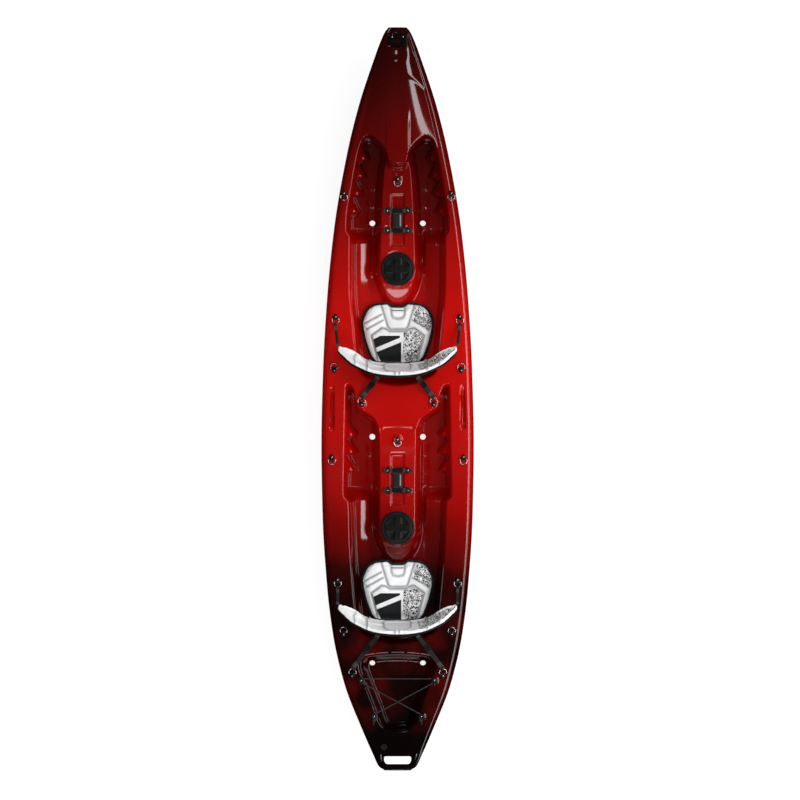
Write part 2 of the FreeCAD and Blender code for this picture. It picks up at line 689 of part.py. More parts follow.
# ---------------------------------------------------------------- bungee
button = revolved("BungeeButton", [
    ("screwShank + 0.3", "0"), ("buttonRadius", "0"), ("buttonRadius - 1", "buttonBase"),
    ("buttonNeck", "buttonBase"), ("buttonNeck", "buttonBase + buttonGap"),
    ("buttonRadius", "buttonBase + buttonGap"),
    ("buttonRadius - 2", "buttonBase + buttonGap + buttonCap"),
    ("screwShank + 0.3", "buttonBase + buttonGap + buttonCap")])
button_top = D["buttonBase"] + D["buttonGap"] + D["buttonCap"]
group("bungee_buttons", button, button_places)
# A longer screw than the deck screws, because it passes through the whole button.
button_screw = revolved("ButtonScrew", [
    ("0", "0 - screwDepth - buttonGap - buttonBase"), ("screwShank", "0 - screwDepth - buttonGap"),
    ("screwShank", "0"), ("screwHead", "0"), ("screwHead", "screwHeadRise / 2"),
    ("screwHead / 2", "screwHeadRise"), ("0", "screwHeadRise")])
group("button_screws", button_screw, [seated(p, button_top) for p in button_places])


def cord_run(name, start, stop):
    """Straight run of cord."""
    run = doc.addObject("Part::Cylinder", name)
    bind(run, Radius="cordRadius")
    run.Height = (stop - start).Length
    run.Placement = Placement(start, Rotation(Vector(0, 0, 1), stop - start))
    return run


cord_rise = Vector(0, 0, D["buttonBase"] + D["buttonGap"] / 2)
CROSS_OVER = Vector(0, 0, 2 * D["cordRadius"] + 1)
front_starboard, front_port, rear_starboard, rear_port = [p.Base + cord_rise for p in button_places]
beside_neck = D["buttonNeck"] + D["cordRadius"] + 1
FORE = Vector(0, beside_neck, 0)
INBOARD = Vector(-beside_neck - 3, -beside_neck / 2, 0)
OUTBOARD = Vector(-INBOARD.x, INBOARD.y, 0)
cord_runs = [
    cord_run("CordAcross", front_port + FORE, front_starboard + FORE),
    cord_run("CordUnder", rear_port - INBOARD + Vector(0, beside_neck, 0), front_starboard + INBOARD),
    cord_run("CordOver", rear_starboard - OUTBOARD + Vector(0, beside_neck, 0) + CROSS_OVER / 4,
             front_port + OUTBOARD + CROSS_OVER * 1.5),
]
bungee = doc.addObject("Part::Compound", "BungeeCord")
bungee.Links = cord_runs
keep(bungee, "bungee_cord")

# ---------------------------------------------------------------- bottle retainers
retainer_lug = padded("RetainerLug", [
    ("0 - lugLength / 2", "0 - lugWidth / 2 + 4"), ("0 - lugLength / 2 + 3", "0 - lugWidth / 2"),
    ("0 - lugLength / 2 + 7", "0 - lugWidth / 2"), ("lugLength / 2", "0 - lugWidth / 2 + 10"),
    ("lugLength / 2", "lugWidth / 2 - 10"), ("0 - lugLength / 2 + 7", "lugWidth / 2"),
    ("0 - lugLength / 2 + 3", "lugWidth / 2"), ("0 - lugLength / 2", "lugWidth / 2 - 4")], "lugRise")
bore(retainer_lug, "screwShank + 0.3", "lugRise")
strap = padded("RetainerStrap", mirrored([
    ("0", "0 - retainerWidth / 2"), ("retainerSpan / 2 - 10", "0 - retainerWidth / 2"),
    ("retainerSpan / 2", "0 - 3"), ("retainerSpan / 2", "3"),
    ("retainerSpan / 2 - 10", "retainerWidth / 2"), ("0", "retainerWidth / 2")]), "webbingThickness")
for side, tag in ((1, "Starboard"), (-1, "Port")):
    doc.recompute()
    hole_sketch = sketch_on(strap, "StrapHole" + tag)
    circle(hole_sketch, "screwShank + 0.3", "lugX" if side > 0 else "0 - lugX")
    hole = strap.newObject("PartDesign::Pocket", "StrapPocket" + tag)
    hole.Profile = hole_sketch
    hole.Reversed = True
    bind(hole, Length="webbingThickness")
panel = padded("RetainerPanel", mirrored([
    ("0", "0 - panelLength / 2"), ("panelWidth / 2 - 4", "0 - panelLength / 2"),
    ("panelWidth / 2", "0 - panelLength / 2 + 4"), ("panelWidth / 2", "panelLength / 2 - 4"),
    ("panelWidth / 2 - 4", "panelLength / 2"), ("0", "panelLength / 2")]), "webbingThickness")
slider = padded("RetainerSlider", mirrored([
    ("0", "0 - retainerWidth / 2 - 3"), ("sliderLength / 2 - 2", "0 - retainerWidth / 2 - 3"),
    ("sliderLength / 2", "0 - retainerWidth / 2 - 1"), ("sliderLength / 2", "retainerWidth / 2 + 1"),
    ("sliderLength / 2 - 2", "retainerWidth / 2 + 3"), ("0", "retainerWidth / 2 + 3")]),
    "2 * webbingThickness")
for side, tag in ((1, "Starboard"), (-1, "Port")):
    doc.recompute()
    slot_sketch = sketch_on(slider, "SliderSlot" + tag)
    polygon(slot_sketch, [
        ("sliderBar / 2", "0 - retainerWidth / 2", side),
        ("sliderLength / 2 - sliderBar", "0 - retainerWidth / 2", side),
        ("sliderLength / 2 - sliderBar", "retainerWidth / 2", side),
        ("sliderBar / 2", "retainerWidth / 2", side)])
    slot = slider.newObject("PartDesign::Pocket", "SliderPocket" + tag)
    slot.Profile = slot_sketch
    slot.Reversed = True
    bind(slot, Length="2 * webbingThickness")

group("retainer_lugs", retainer_lug, lug_places)
strap_rise = D["lugRise"]
panel_rise = strap_rise + D["webbingThickness"]
slider_rise = panel_rise + D["webbingThickness"]
slider_places = []
for name, centre in RETAINERS.items():
    cross = [Placement(centre + Vector(0, end * D["retainerPitch"] / 2, 0), Rotation()) for end in (1, -1)]
    group(f"retainer_{name}_straps", strap, [seated(p, strap_rise) for p in cross])
    placed(f"retainer_{name}_panel", panel, Placement(centre + Vector(0, 0, panel_rise), Rotation()))
    slider_places += [seated(p, slider_rise) for p in cross]
group("retainer_sliders", slider, slider_places)
group("retainer_screws", screw, [seated(p, panel_rise) for p in lug_places])

# ---------------------------------------------------------------- bow handle
bow_handle = padded("BowHandle", mirrored([
    ("0", "0 - bowHandleDepth / 2"), ("bowHandleWidth / 2 - 14", "0 - bowHandleDepth / 2"),
    ("bowHandleWidth / 2", "0 - bowHandleDepth / 2 + 14"), ("bowHandleWidth / 2", "bowHandleDepth / 2 - 8"),
    ("bowHandleWidth / 2 - 8", "bowHandleDepth / 2"), ("0", "bowHandleDepth / 2")]), "bowHandleRise")
doc.recompute()
finger_sketch = sketch_on(bow_handle, "FingerSketch")
polygon(finger_sketch, mirrored([
    ("0", "0 - bowHandleDepth / 2 + 16"), ("20", "0 - bowHandleDepth / 2 + 16"), ("26", "0 - 4"),
    ("26", "6"), ("0", "6")]))
finger = bow_handle.newObject("PartDesign::Pocket", "FingerHole")
finger.Profile = finger_sketch
finger.Reversed = True
bind(finger, Length="bowHandleRise")
HANDLE_SCREW = (27, 19)
for side, tag in ((1, "Starboard"), (-1, "Port")):
    doc.recompute()
    hole_sketch = sketch_on(bow_handle, "HandleHole" + tag)
    circle(hole_sketch, "screwShank + 0.3", str(HANDLE_SCREW[0]) if side > 0 else f"0 - {HANDLE_SCREW[0]}",
           str(HANDLE_SCREW[1]))
    hole = bow_handle.newObject("PartDesign::Pocket", "HandlePocket" + tag)
    hole.Profile = hole_sketch
    hole.Reversed = True
    bind(hole, Length="bowHandleRise")
placed("bow_handle", bow_handle, BOW_HANDLE)
group("bow_handle_screws", screw, [
    shifted(BOW_HANDLE, side * HANDLE_SCREW[0], HANDLE_SCREW[1], D["bowHandleRise"]) for side in (1, -1)])

# ---------------------------------------------------------------- buoyancy and deck support
foam_bow = padded("FoamBow", [
    ("1240", "20"), ("1430", "50"), ("1560", "92"), ("1560", "370"), ("1240", "347")],
    "90", "YZ_Plane")
foam_bow.Tip.Midplane = True
foam_stern = padded("FoamStern", [
    ("0 - 1620", "112"), ("0 - 1400", "42"), ("0 - 1350", "30"), ("0 - 1350", "166"), ("0 - 1620", "166")],
    "110", "YZ_Plane")
foam_stern.Tip.Midplane = True
keep(foam_bow, "foam_block_bow")
keep(foam_stern, "foam_block_stern")

# ---------------------------------------------------------------- seats
PAD_BASE = 174.5
HINGE = Vector(0, 157, 200)
seat_pad = padded("SeatPad", mirrored([
    ("0", "471"), ("30", "471"), ("47", "488"), ("121", "481"), ("159", "455"), ("186", "391"),
    ("181", "343"), ("164", "274"), ("137", "210"), ("112", "191"), ("0", "184")]), "padThickness")

silhouette = mirrored([
    ("0", "0"), ("142", "0"), ("162", "14"), ("185", "73"), ("210", "136"), ("wingX", "150"),
    ("wingX", "170"), ("240", "224"), ("150", "backHeight - 12"), ("0", "backHeight")])


def curved_panel(name, inner, outer):
    """Part of an upright round shell that lies inside the backrest's front outline."""
    front = padded(name + "Front", silhouette, "400", "XZ_Plane")
    front.Tip.Midplane = True
    shells = []
    for tag, radius in (("Outer", outer), ("Inner", inner)):
        tube = doc.addObject("Part::Cylinder", name + tag)
        bind(tube, Radius=radius, Height="backHeight")
        tube.Placement = Placement(Vector(0, D["backRadius"], 0), Rotation())
        shells.append(tube)
    ring_wall = doc.addObject("Part::Cut", name + "Wall")
    ring_wall.Base = shells[0]
    ring_wall.Tool = shells[1]
    shape = doc.addObject("Part::Common", name)
    shape.Base = ring_wall
    shape.Tool = front
    return shape


backrest = curved_panel("Backrest", "backRadius - backThickness / 2", "backRadius + backThickness / 2")
board = curved_panel("BackrestBoard", "backRadius + backThickness / 2",
                     "backRadius + backThickness / 2 + boardThickness")


def ribbon(name, start, stop, width):
    """Flat strap from start to stop, with its width kept level."""
    along = stop - start
    level_side = along.cross(Vector(0, 0, 1)).normalize()
    up = level_side.cross(along).normalize()
    strip = doc.addObject("Part::Box", name)
    strip.Length = along.Length
    bind(strip, Width=width, Height="webbingThickness")
    turn = Rotation(along, -level_side, up, "XYZ")
    strip.Placement = Placement(start, turn).multiply(
        Placement(Vector(0, -D[width] / 2, -D["webbingThickness"] / 2), Rotation()))
    return strip


def gathered(name, pieces):
    both = doc.addObject("Part::Compound", name + "_group")
    both.Links = pieces
    return keep(both, name)


def ring_end(place, gap):
    """Point just past a ring's far bend, where a strap pulls."""
    reach = D["ringLeg"] + D["ringHalfWidth"] + D["ringWire"] + gap
    return shifted(place, 0, -reach, RING_RISE).Base


def buckle(name, strip, at):
    """Ladder-lock frame lying on a strap."""
    frame = doc.addObject("Part::Box", name)
    bind(frame, Length="rearStrapWidth", Width="rearStrapWidth + 8", Height="2 * webbingThickness")
    frame.Placement = strip.Placement.multiply(
        Placement(Vector(at, -4, D["webbingThickness"] + 0.3), Rotation()))
    return frame


LEAN = Rotation(Vector(1, 0, 0), D["backLean"])
# The rear straps reach their rings at a slant, so their corners need more room.
SIDE_GAP = 1.5
REAR_GAP = 6
SIDE_TIP = Vector(299, 266, 358)
REAR_ANCHOR = Vector(98, 116, 352)
BUCKLE_SHARE = 0.35
for name, shift in (("front", 0), ("rear", -PITCH)):
    along = Vector(0, shift, 0)
    placed(f"seat_{name}_pad", seat_pad, Placement(along + Vector(0, 0, PAD_BASE), Rotation()))
    placed(f"seat_{name}_backrest", backrest, Placement(along + HINGE, LEAN))
    placed(f"seat_{name}_back_board", board, Placement(along + HINGE, LEAN))
    sides = []
    backs = []
    buckles = []
    for hand, tag in ((1, "Starboard"), (-1, "Port")):
        tip = along + Vector(hand * SIDE_TIP.x, SIDE_TIP.y, SIDE_TIP.z)
        pull = ring_end(strap_places["side_" + name, hand], SIDE_GAP)
        sides.append(ribbon(f"SideStrap{tag}_{name}", tip, pull, "sideStrapWidth"))
        anchor = along + Vector(hand * REAR_ANCHOR.x, REAR_ANCHOR.y, REAR_ANCHOR.z)
        pull = ring_end(strap_places["back_" + name, hand], REAR_GAP)
        strip = ribbon(f"BackStrap{tag}_{name}", anchor, pull, "rearStrapWidth")
        backs.append(strip)
        buckles.append(buckle(f"Buckle{tag}_{name}", strip, BUCKLE_SHARE * strip.Length.Value))
    gathered(f"seat_{name}_side_straps", sides)
    gathered(f"seat_{name}_back_straps", backs)
    gathered(f"seat_{name}_buckles", buckles)

# ---------------------------------------------------------------- check and write
doc.recompute()
faults = []
for obj in doc.Objects:
    if "Invalid" in obj.State or "Error" in obj.State:
        faults.append(f"{obj.Name}: {obj.State}")
for obj in SUBPARTS:
    if obj.Shape.isNull() or not obj.Shape.isValid():
        faults.append(f"{obj.Label}: bad shape")
if faults:
    raise RuntimeError("; ".join(faults))
for obj in SUBPARTS:
    obj.Shape.exportStep(f"parts/{obj.Label}.step")
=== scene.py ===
import math

import bmesh
import bpy
import numpy as np
from mathutils import Matrix, Vector


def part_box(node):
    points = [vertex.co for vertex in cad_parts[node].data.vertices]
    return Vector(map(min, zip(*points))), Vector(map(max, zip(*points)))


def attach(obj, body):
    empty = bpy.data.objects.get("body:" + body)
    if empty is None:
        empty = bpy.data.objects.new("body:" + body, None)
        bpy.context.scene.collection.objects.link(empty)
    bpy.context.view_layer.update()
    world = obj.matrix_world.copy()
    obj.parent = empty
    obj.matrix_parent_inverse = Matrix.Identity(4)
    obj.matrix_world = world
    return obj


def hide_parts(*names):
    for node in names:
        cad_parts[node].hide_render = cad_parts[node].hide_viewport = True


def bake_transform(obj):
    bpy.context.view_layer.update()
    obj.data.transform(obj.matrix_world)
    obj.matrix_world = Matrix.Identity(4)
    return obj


# Tandem sit-on-top kayak. Shapes are worked out in millimetres in the frame's axes and
# written to meshes in metres: +Y is the bow, +X is starboard, +Z is up.
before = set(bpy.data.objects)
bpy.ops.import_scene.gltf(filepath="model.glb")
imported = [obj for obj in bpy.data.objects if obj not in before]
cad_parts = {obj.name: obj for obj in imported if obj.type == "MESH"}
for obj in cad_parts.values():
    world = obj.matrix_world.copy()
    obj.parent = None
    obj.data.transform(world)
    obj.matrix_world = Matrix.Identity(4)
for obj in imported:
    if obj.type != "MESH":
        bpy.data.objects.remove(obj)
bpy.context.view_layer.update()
MM = 0.001
PITCH = 1290.0


# ---------------------------------------------------------------- small maths
def curve(stations, at):
    """Smooth curve through (place, value) stations with no overshoot."""
    places = np.array([s[0] for s in stations], float)
    values = np.array([s[1] for s in stations], float)
    at = np.clip(np.asarray(at, float), places[0], places[-1])
    grade = np.diff(values) / np.diff(places)
    slope = np.zeros(len(places))
    slope[0], slope[-1] = grade[0], grade[-1]
    product = grade[:-1] * grade[1:]
    total = np.where(product > 0, grade[:-1] + grade[1:], 1.0)
    slope[1:-1] = np.where(product > 0, 2 * product / total, 0.0)
    k = np.clip(np.searchsorted(places, at, side="right") - 1, 0, len(places) - 2)
    span = places[k + 1] - places[k]
    t = (at - places[k]) / span
    rise = t * t * (3 - 2 * t)
    return (values[k] + (values[k + 1] - values[k]) * rise
            + slope[k] * span * t * (1 - t) ** 2 - slope[k + 1] * span * t * t * (1 - t))


def ramp(distance, width):
    """0 to 1 over width, with soft ends."""
    t = np.clip(np.asarray(distance, float) / width, 0, 1)
    return t * t * (3 - 2 * t)


def hump(at, centre, half, soft):
    """1 within half of centre, falling to 0 over soft."""
    return ramp(half + soft - np.abs(at - centre), soft)


def climb(at, start, stop, soft):
    """Even rise of one per unit from start to stop, with rounded ends."""
    def bent(t):
        return np.where(np.abs(t) < soft, (t + soft) ** 2 / (4 * soft), np.maximum(t, 0))
    return bent(at - start) - bent(at - stop)


def travelled(path):
    """Distance gone at each point of a path."""
    return np.concatenate([[0], np.cumsum(np.linalg.norm(np.diff(path, axis=0), axis=1))])


def spaced(start, stop, gap):
    return np.linspace(start, stop, int(round(abs(stop - start) / gap)) + 1)


# ---------------------------------------------------------------- meshes
def linked(name, data):
    """New object in the scene."""
    obj = bpy.data.objects.new(name, data)
    bpy.context.scene.collection.objects.link(obj)
    return obj


def tube_of_rings(name, rings):
    """Closed mesh through equal rings of points in millimetres, with its ends capped."""
    count = len(rings[0])
    last = (len(rings) - 1) * count
    faces = []
    for base in range(0, last, count):
        up = base + count
        for i in range(count):
            k = (i + 1) % count
            faces.append((base + i, base + k, up + k, up + i))
    faces.append(tuple(range(count - 1, -1, -1)))
    faces.append(tuple(range(last, last + count)))
    mesh = bpy.data.meshes.new(name)
    mesh.from_pydata([tuple(p) for p in np.concatenate(rings) * MM], [], faces)
    mesh.update()
    mesh.shade_smooth()
    return linked(name, mesh)


def joined(name, objs):
    """One object from several."""
    for obj in bpy.context.selected_objects:
        obj.select_set(False)
    for obj in objs:
        obj.select_set(True)
    bpy.context.view_layer.objects.active = objs[0]
    if len(objs) > 1:
        bpy.ops.object.join()
    objs[0].name = name
    return objs[0]


def evaluated(obj):
    """Mesh of an object with its modifiers applied."""
    graph = bpy.context.evaluated_depsgraph_get()
    graph.update()
    return bpy.data.meshes.new_from_object(obj.evaluated_get(graph))


def apply_modifiers(obj):
    mesh = evaluated(obj)
    obj.modifiers.clear()
    obj.data = mesh
    return obj


def coords(obj):
    out = np.zeros(len(obj.data.vertices) * 3)
    obj.data.vertices.foreach_get("co", out)
    return out.reshape(-1, 3) / MM


def set_coords(obj, points):
    obj.data.vertices.foreach_set("co", (np.asarray(points) * MM).ravel())
    obj.data.update()


def normals(obj):
    out = np.zeros(len(obj.data.vertices) * 3, np.float32)
    obj.data.vertex_normals.foreach_get("vector", out)
    return out.reshape(-1, 3).astype(float)


def rounded(corners, radius, steps=5):
    """Closed outline with its corners rounded."""
    corners = [np.array(c, float) for c in corners]
    out = []
    for i, here in enumerate(corners):
        a = corners[i - 1] - here
        b = corners[(i + 1) % len(corners)] - here
        reach = min(radius, 0.45 * np.linalg.norm(a), 0.45 * np.linalg.norm(b))
        first = here + a / np.linalg.norm(a) * reach
        last = here + b / np.linalg.norm(b) * reach
        for t in np.linspace(0, 1, steps):
            out.append((1 - t) ** 2 * first + 2 * t * (1 - t) * here + t * t * last)
    return np.array(out)


def oblong(x0, x1, y0, y1, radius, steps):
    """Rectangle with rounded corners."""
    return rounded([(x0, y0), (x1, y0), (x1, y1), (x0, y1)], radius, steps)


def mirror(half):
    """Full outline from its right-hand half."""
    return list(half) + [(-u, v) for u, v in reversed(half) if u != 0]


def slab(name, outlines, low, high, edge):
    """Flat moulded piece between two heights with rounded edges; later outlines are holes."""
    data = bpy.data.curves.new(name, "CURVE")
    data.dimensions = "2D"
    data.fill_mode = "BOTH"
    for line in outlines:
        spline = data.splines.new("POLY")
        spline.points.add(len(line) - 1)
        for point, (u, v) in zip(spline.points, line):
            point.co = (u * MM, v * MM, 0, 1)
        spline.use_cyclic_u = True
    data.extrude = ((high - low) / 2 - edge) * MM
    data.bevel_depth = edge * MM
    data.bevel_resolution = 2
    data.offset = -edge * MM
    shape = linked(name, data)
    mesh = evaluated(shape)
    bpy.data.objects.remove(shape)
    bpy.data.curves.remove(data)
    mesh.transform(Matrix.Translation((0, 0, (high + low) / 2 * MM)))
    work = bmesh.new()
    work.from_mesh(mesh)
    bmesh.ops.remove_doubles(work, verts=work.verts, dist=1e-5)
    work.to_mesh(mesh)
    work.free()
    mesh.shade_smooth()
    mesh.set_sharp_from_angle(angle=math.radians(50))
    return linked(name, mesh)


def tapered(name, outline, centre, stages):
    """Solid whose sections are one outline, scaled about a centre by (share, height) stages."""
    rings = []
    for share, height in stages:
        rings.append(np.column_stack([centre + (outline - centre) * share, np.full(len(outline), height)]))
    return tube_of_rings(name, rings)


def turned(name, profile, sides=48):
    """Round piece from (radius, height) corners, closed at the axis."""
    turn = np.linspace(0, 2 * math.pi, sides, endpoint=False)
    rings = []
    for radius, height in profile:
        rings.append(np.stack([radius * np.cos(turn), radius * np.sin(turn), np.full(sides, height)], 1))
    obj = tube_of_rings(name, rings)
    obj.data.set_sharp_from_angle(angle=math.radians(35))
    return obj


def at(origin, normal=(0, 0, 1), turn=0.0):
    """Matrix in metres: local Z along normal, local Y at turn degrees, origin in millimetres."""
    tilt = Vector((0, 0, 1)).rotation_difference(Vector(normal)).to_matrix().to_4x4()
    spin = Matrix.Rotation(math.radians(turn), 4, "Z")
    return Matrix.Translation(Vector(origin) * MM) @ tilt @ spin


def copied(source, name, place):
    copy = linked(name, source.data.copy())
    copy.data.transform(place)
    return copy


def stamped(name, master, places):
    """Copies of a master mesh at each place, as one object. The master is used up."""
    copies = [copied(master, name, place) for place in places]
    bpy.data.objects.remove(master)
    return joined(name, copies)


def islands(node):
    """Points of each separate solid in a CAD node, in millimetres."""
    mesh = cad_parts[node].data
    points = coords(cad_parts[node])
    keys = {}
    same = [keys.setdefault(tuple(np.round(p, 2)), i) for i, p in enumerate(points)]
    parent = list(range(len(points)))

    def root(i):
        while parent[i] != i:
            parent[i] = parent[parent[i]]
            i = parent[i]
        return i

    for polygon in mesh.polygons:
        first = root(same[polygon.vertices[0]])
        for v in polygon.vertices[1:]:
            parent[root(same[v])] = first
    groups = {}
    for i in keys.values():
        groups.setdefault(root(i), []).append(points[i])
    return [np.array(g) for g in groups.values()]


def piece(obj, body, slot, *replaced):
    """Mount a finished piece: the body it moves with, its material slot and the nodes it stands for."""
    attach(obj, body)
    if replaced:
        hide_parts(*replaced)
    dress(obj, slot)
    return obj


def dress(obj, slot):
    obj.data.materials.clear()
    obj.data.materials.append(MATERIALS[slot])


# ---------------------------------------------------------------- materials
class Net:
    """A Principled material built node by node."""

    def __init__(self, name):
        self.material = bpy.data.materials.new(name)
        self.material.use_nodes = True
        self.tree = self.material.node_tree
        self.bsdf = self.tree.nodes["Principled BSDF"]

    def feed(self, socket, value):
        if isinstance(value, bpy.types.NodeSocket):
            self.tree.links.new(value, socket)
        else:
            socket.default_value = value

    def add(self, kind, inputs=(), **settings):
        node = self.tree.nodes.new(kind)
        for key, value in settings.items():
            setattr(node, key, value)
        for key, value in dict(inputs).items():
            self.feed(node.inputs[key], value)
        return node

    def math(self, operation, a, b=0.0):
        return self.add("ShaderNodeMath", {0: a, 1: b}, operation=operation).outputs[0]

    def plus(self, a, b):
        return self.math("ADD", a, b)

    def times(self, a, b):
        return self.math("MULTIPLY", a, b)

    def sine(self, a):
        return self.math("SINE", a)

    def split(self, vector):
        return self.add("ShaderNodeSeparateXYZ", {0: vector}).outputs

    def stored(self, name, output="Fac"):
        return self.add("ShaderNodeAttribute", attribute_name=name).outputs[output]

    def mix(self, share, a, b):
        node = self.add("ShaderNodeMix", {0: share, 6: a, 7: b}, data_type="RGBA")
        return node.outputs[2]

    def place(self):
        return self.add("ShaderNodeTexCoord").outputs["Object"]

    def stretched(self, scale, turn=0.0, vector=None):
        mapping = self.add("ShaderNodeMapping", {
            "Vector": self.place() if vector is None else vector, "Scale": scale,
            "Rotation": (0, 0, math.radians(turn))})
        return mapping.outputs[0]

    def noise(self, scale, detail=3.0, vector=None, rough=0.5, distortion=0.0):
        node = self.add("ShaderNodeTexNoise", {
            "Vector": self.place() if vector is None else vector, "Scale": scale, "Detail": detail,
            "Roughness": rough, "Distortion": distortion})
        return node.outputs["Fac"]

    def ramp(self, value, *stops):
        node = self.add("ShaderNodeValToRGB", {"Fac": value})
        elements = node.color_ramp.elements
        while len(elements) < len(stops):
            elements.new(0.5)
        for element, (position, colour) in zip(elements, stops):
            element.position = position
            element.color = (*colour, 1) if len(colour) == 3 else colour
        return node.outputs["Color"]

    def spread(self, value, low, high, to_low=0.0, to_high=1.0):
        node = self.add("ShaderNodeMapRange", {
            "Value": value, "From Min": low, "From Max": high, "To Min": to_low, "To Max": to_high})
        return node.outputs[0]

    def bump(self, height, distance, strength=1.0, after=None):
        inputs = {"Height": height, "Distance": distance, "Strength": strength}
        if after is not None:
            inputs["Normal"] = after
        return self.add("ShaderNodeBump", inputs).outputs[0]

    def finish(self, colour, roughness, normal=None, **extra):
        self.feed(self.bsdf.inputs["Base Color"], colour)
        self.feed(self.bsdf.inputs["Roughness"], roughness)
        if normal is not None:
            self.feed(self.bsdf.inputs["Normal"], normal)
        for key, value in extra.items():
            self.feed(self.bsdf.inputs[key.replace("_", " ")], value)
        return self.material


def hull_plastic():
    net = Net("hull_plastic")
    along = net.split(net.place())["Y"]
    cloud = net.noise(2.2, 4, net.stretched((1.6, 0.7, 0.6)), 0.55)
    streak = net.noise(7, 3, net.stretched((1.2, 0.25, 0.5)), 0.6)
    drift = net.plus(net.times(net.math("SUBTRACT", cloud, 0.5), 0.34),
                     net.times(net.math("SUBTRACT", streak, 0.5), 0.12))
    # How red the plastic is along the boat, from black stern to black bow.
    redness = ((-1.86, 0.0008), (-1.66, 0.0012), (-1.5, 0.0045), (-1.1, 0.006), (-0.98, 0.01),
               (-0.86, 0.022), (-0.74, 0.09), (-0.6, 0.155),
               (-0.48, 0.235), (-0.23, 0.31), (0.02, 0.35), (0.3, 0.385), (0.52, 0.335), (0.77, 0.24),
               (0.9, 0.165), (1.02, 0.13), (1.27, 0.083), (1.52, 0.043), (1.65, 0.024), (1.86, 0.009))
    stops = [((y + 1.9) / 3.8, (red, 0.0055 * red, 0.0028 * red)) for y, red in redness]
    fade = net.ramp(net.spread(net.plus(along, drift), -1.9, 1.9), *stops)
    # A dull red bloom shows through the black round the tank well.
    patches = net.ramp(net.noise(3.1, 2, net.stretched((1.5, 1.1, 0.5))),
                       (0.42, (0, 0, 0)), (0.62, (1, 1, 1)))
    reach = net.times(net.spread(along, -1.68, -1.5), net.spread(along, -0.9, -1.15))
    bloom = net.times(patches, reach)
    colour = net.mix(net.times(bloom, 0.55), fade, (0.095, 0.001, 0.0003, 1))
    grain = net.noise(900, 2)
    peel = net.noise(140, 2)
    normal = net.bump(grain, 0.00012, 0.1, net.bump(peel, 0.0006, 0.06))
    return net.finish(colour, net.spread(net.noise(5, 3), 0.3, 0.7, 0.07, 0.14), normal)


def nylon(name="black_nylon", shade=0.0028, rough=0.42, grain=1400, gloss=0.2):
    net = Net(name)
    cloud = net.noise(60, 3)
    colour = net.ramp(cloud, (0.3, (shade, shade * 1.1, shade * 1.1)),
                      (0.7, (shade * 1.6, shade * 1.75, shade * 1.75)))
    normal = net.bump(net.noise(grain, 2), 0.0002, 0.25)
    return net.finish(colour, net.spread(cloud, 0.3, 0.7, rough - 0.06, rough + 0.08), normal,
                      Specular_IOR_Level=gloss)


def steel():
    net = Net("steel")
    brushed = net.noise(260, 4, net.stretched((1, 1, 9)))
    colour = net.ramp(brushed, (0.3, (0.45, 0.46, 0.47)), (0.7, (0.68, 0.69, 0.7)))
    normal = net.bump(brushed, 0.0001, 0.2)
    return net.finish(colour, net.spread(brushed, 0.3, 0.7, 0.16, 0.3), normal, Metallic=1.0)


def webbing():
    """Woven tape. The weave attribute holds millimetres along and across it."""
    net = Net("webbing")
    run = net.split(net.stored("weave", "Vector"))
    side = net.math("ABSOLUTE", net.math("PINGPONG", run["Y"], 2.4))
    twill = net.sine(net.times(net.plus(run["X"], side), 3.1))
    ribs = net.sine(net.times(run["Y"], 4.2))
    height = net.plus(net.times(twill, 0.6), net.times(ribs, 0.4))
    tone = net.spread(height, -1, 1)
    wear = net.noise(40, 4)
    colour = net.ramp(net.plus(net.times(tone, 0.6), net.times(wear, 0.4)),
                      (0.2, (0.003, 0.0035, 0.0035)), (0.8, (0.011, 0.0125, 0.0125)))
    # Box stitching at marked places.
    stitches = net.math("GREATER_THAN", net.sine(net.times(run["X"], 2.6)), -0.2)
    stitch = net.times(run["Z"], stitches)
    colour = net.mix(stitch, colour, (0.05, 0.053, 0.053, 1))
    normal = net.bump(height, 0.0003, 0.5)
    return net.finish(colour, 0.72, normal, Sheen_Weight=0.03, Specular_IOR_Level=0.25)


def seat_fabric():
    """White sailcloth with printed panels. Attributes hold signed distances in millimetres, except seam,
    which holds painted shade in the sewn grooves from 0 to 1.
    """
    net = Net("seat_fabric")

    def inside(name):
        soft = 0.35
        return net.spread(net.stored(name), -soft, soft)

    spot = net.split(net.place())
    threads = 3600
    weave = net.times(net.sine(net.times(spot["X"], threads)), net.sine(net.times(spot["Y"], threads)))
    cloud = net.noise(14, 4)
    white = net.ramp(cloud, (0.3, (0.64, 0.645, 0.65)), (0.7, (0.76, 0.765, 0.77)))
    dash = net.noise(1, 2.5, net.stretched((150, 85, 110), 16), 0.55, 1.2)
    fine = net.noise(1, 2, net.stretched((120, 190, 140), -35), 0.5, 0.6)
    print_noise = net.plus(net.times(dash, 0.7), net.times(fine, 0.3))
    flecks = net.math("GREATER_THAN", print_noise, 0.505)
    black = (0.006, 0.007, 0.008, 1)
    colour = net.mix(inside("ink"), white, black)
    colour = net.mix(net.times(inside("fleck"), flecks), colour, black)
    # Painted shade: the fabric turns grey in the grooves, as far as the seam attribute says.
    colour = net.mix(net.times(net.stored("seam"), 0.75), colour, (0.13, 0.135, 0.14, 1))
    colour = net.mix(inside("edge"), colour, (0.006, 0.008, 0.009, 1))
    creases = net.noise(22, 4, net.stretched((1, 1.6, 1)), 0.6, 0.4)
    normal = net.bump(weave, 0.0002, 0.3, net.bump(creases, 0.004, 0.22))
    return net.finish(colour, 0.62, normal, Sheen_Weight=0.06, Specular_IOR_Level=0.25)


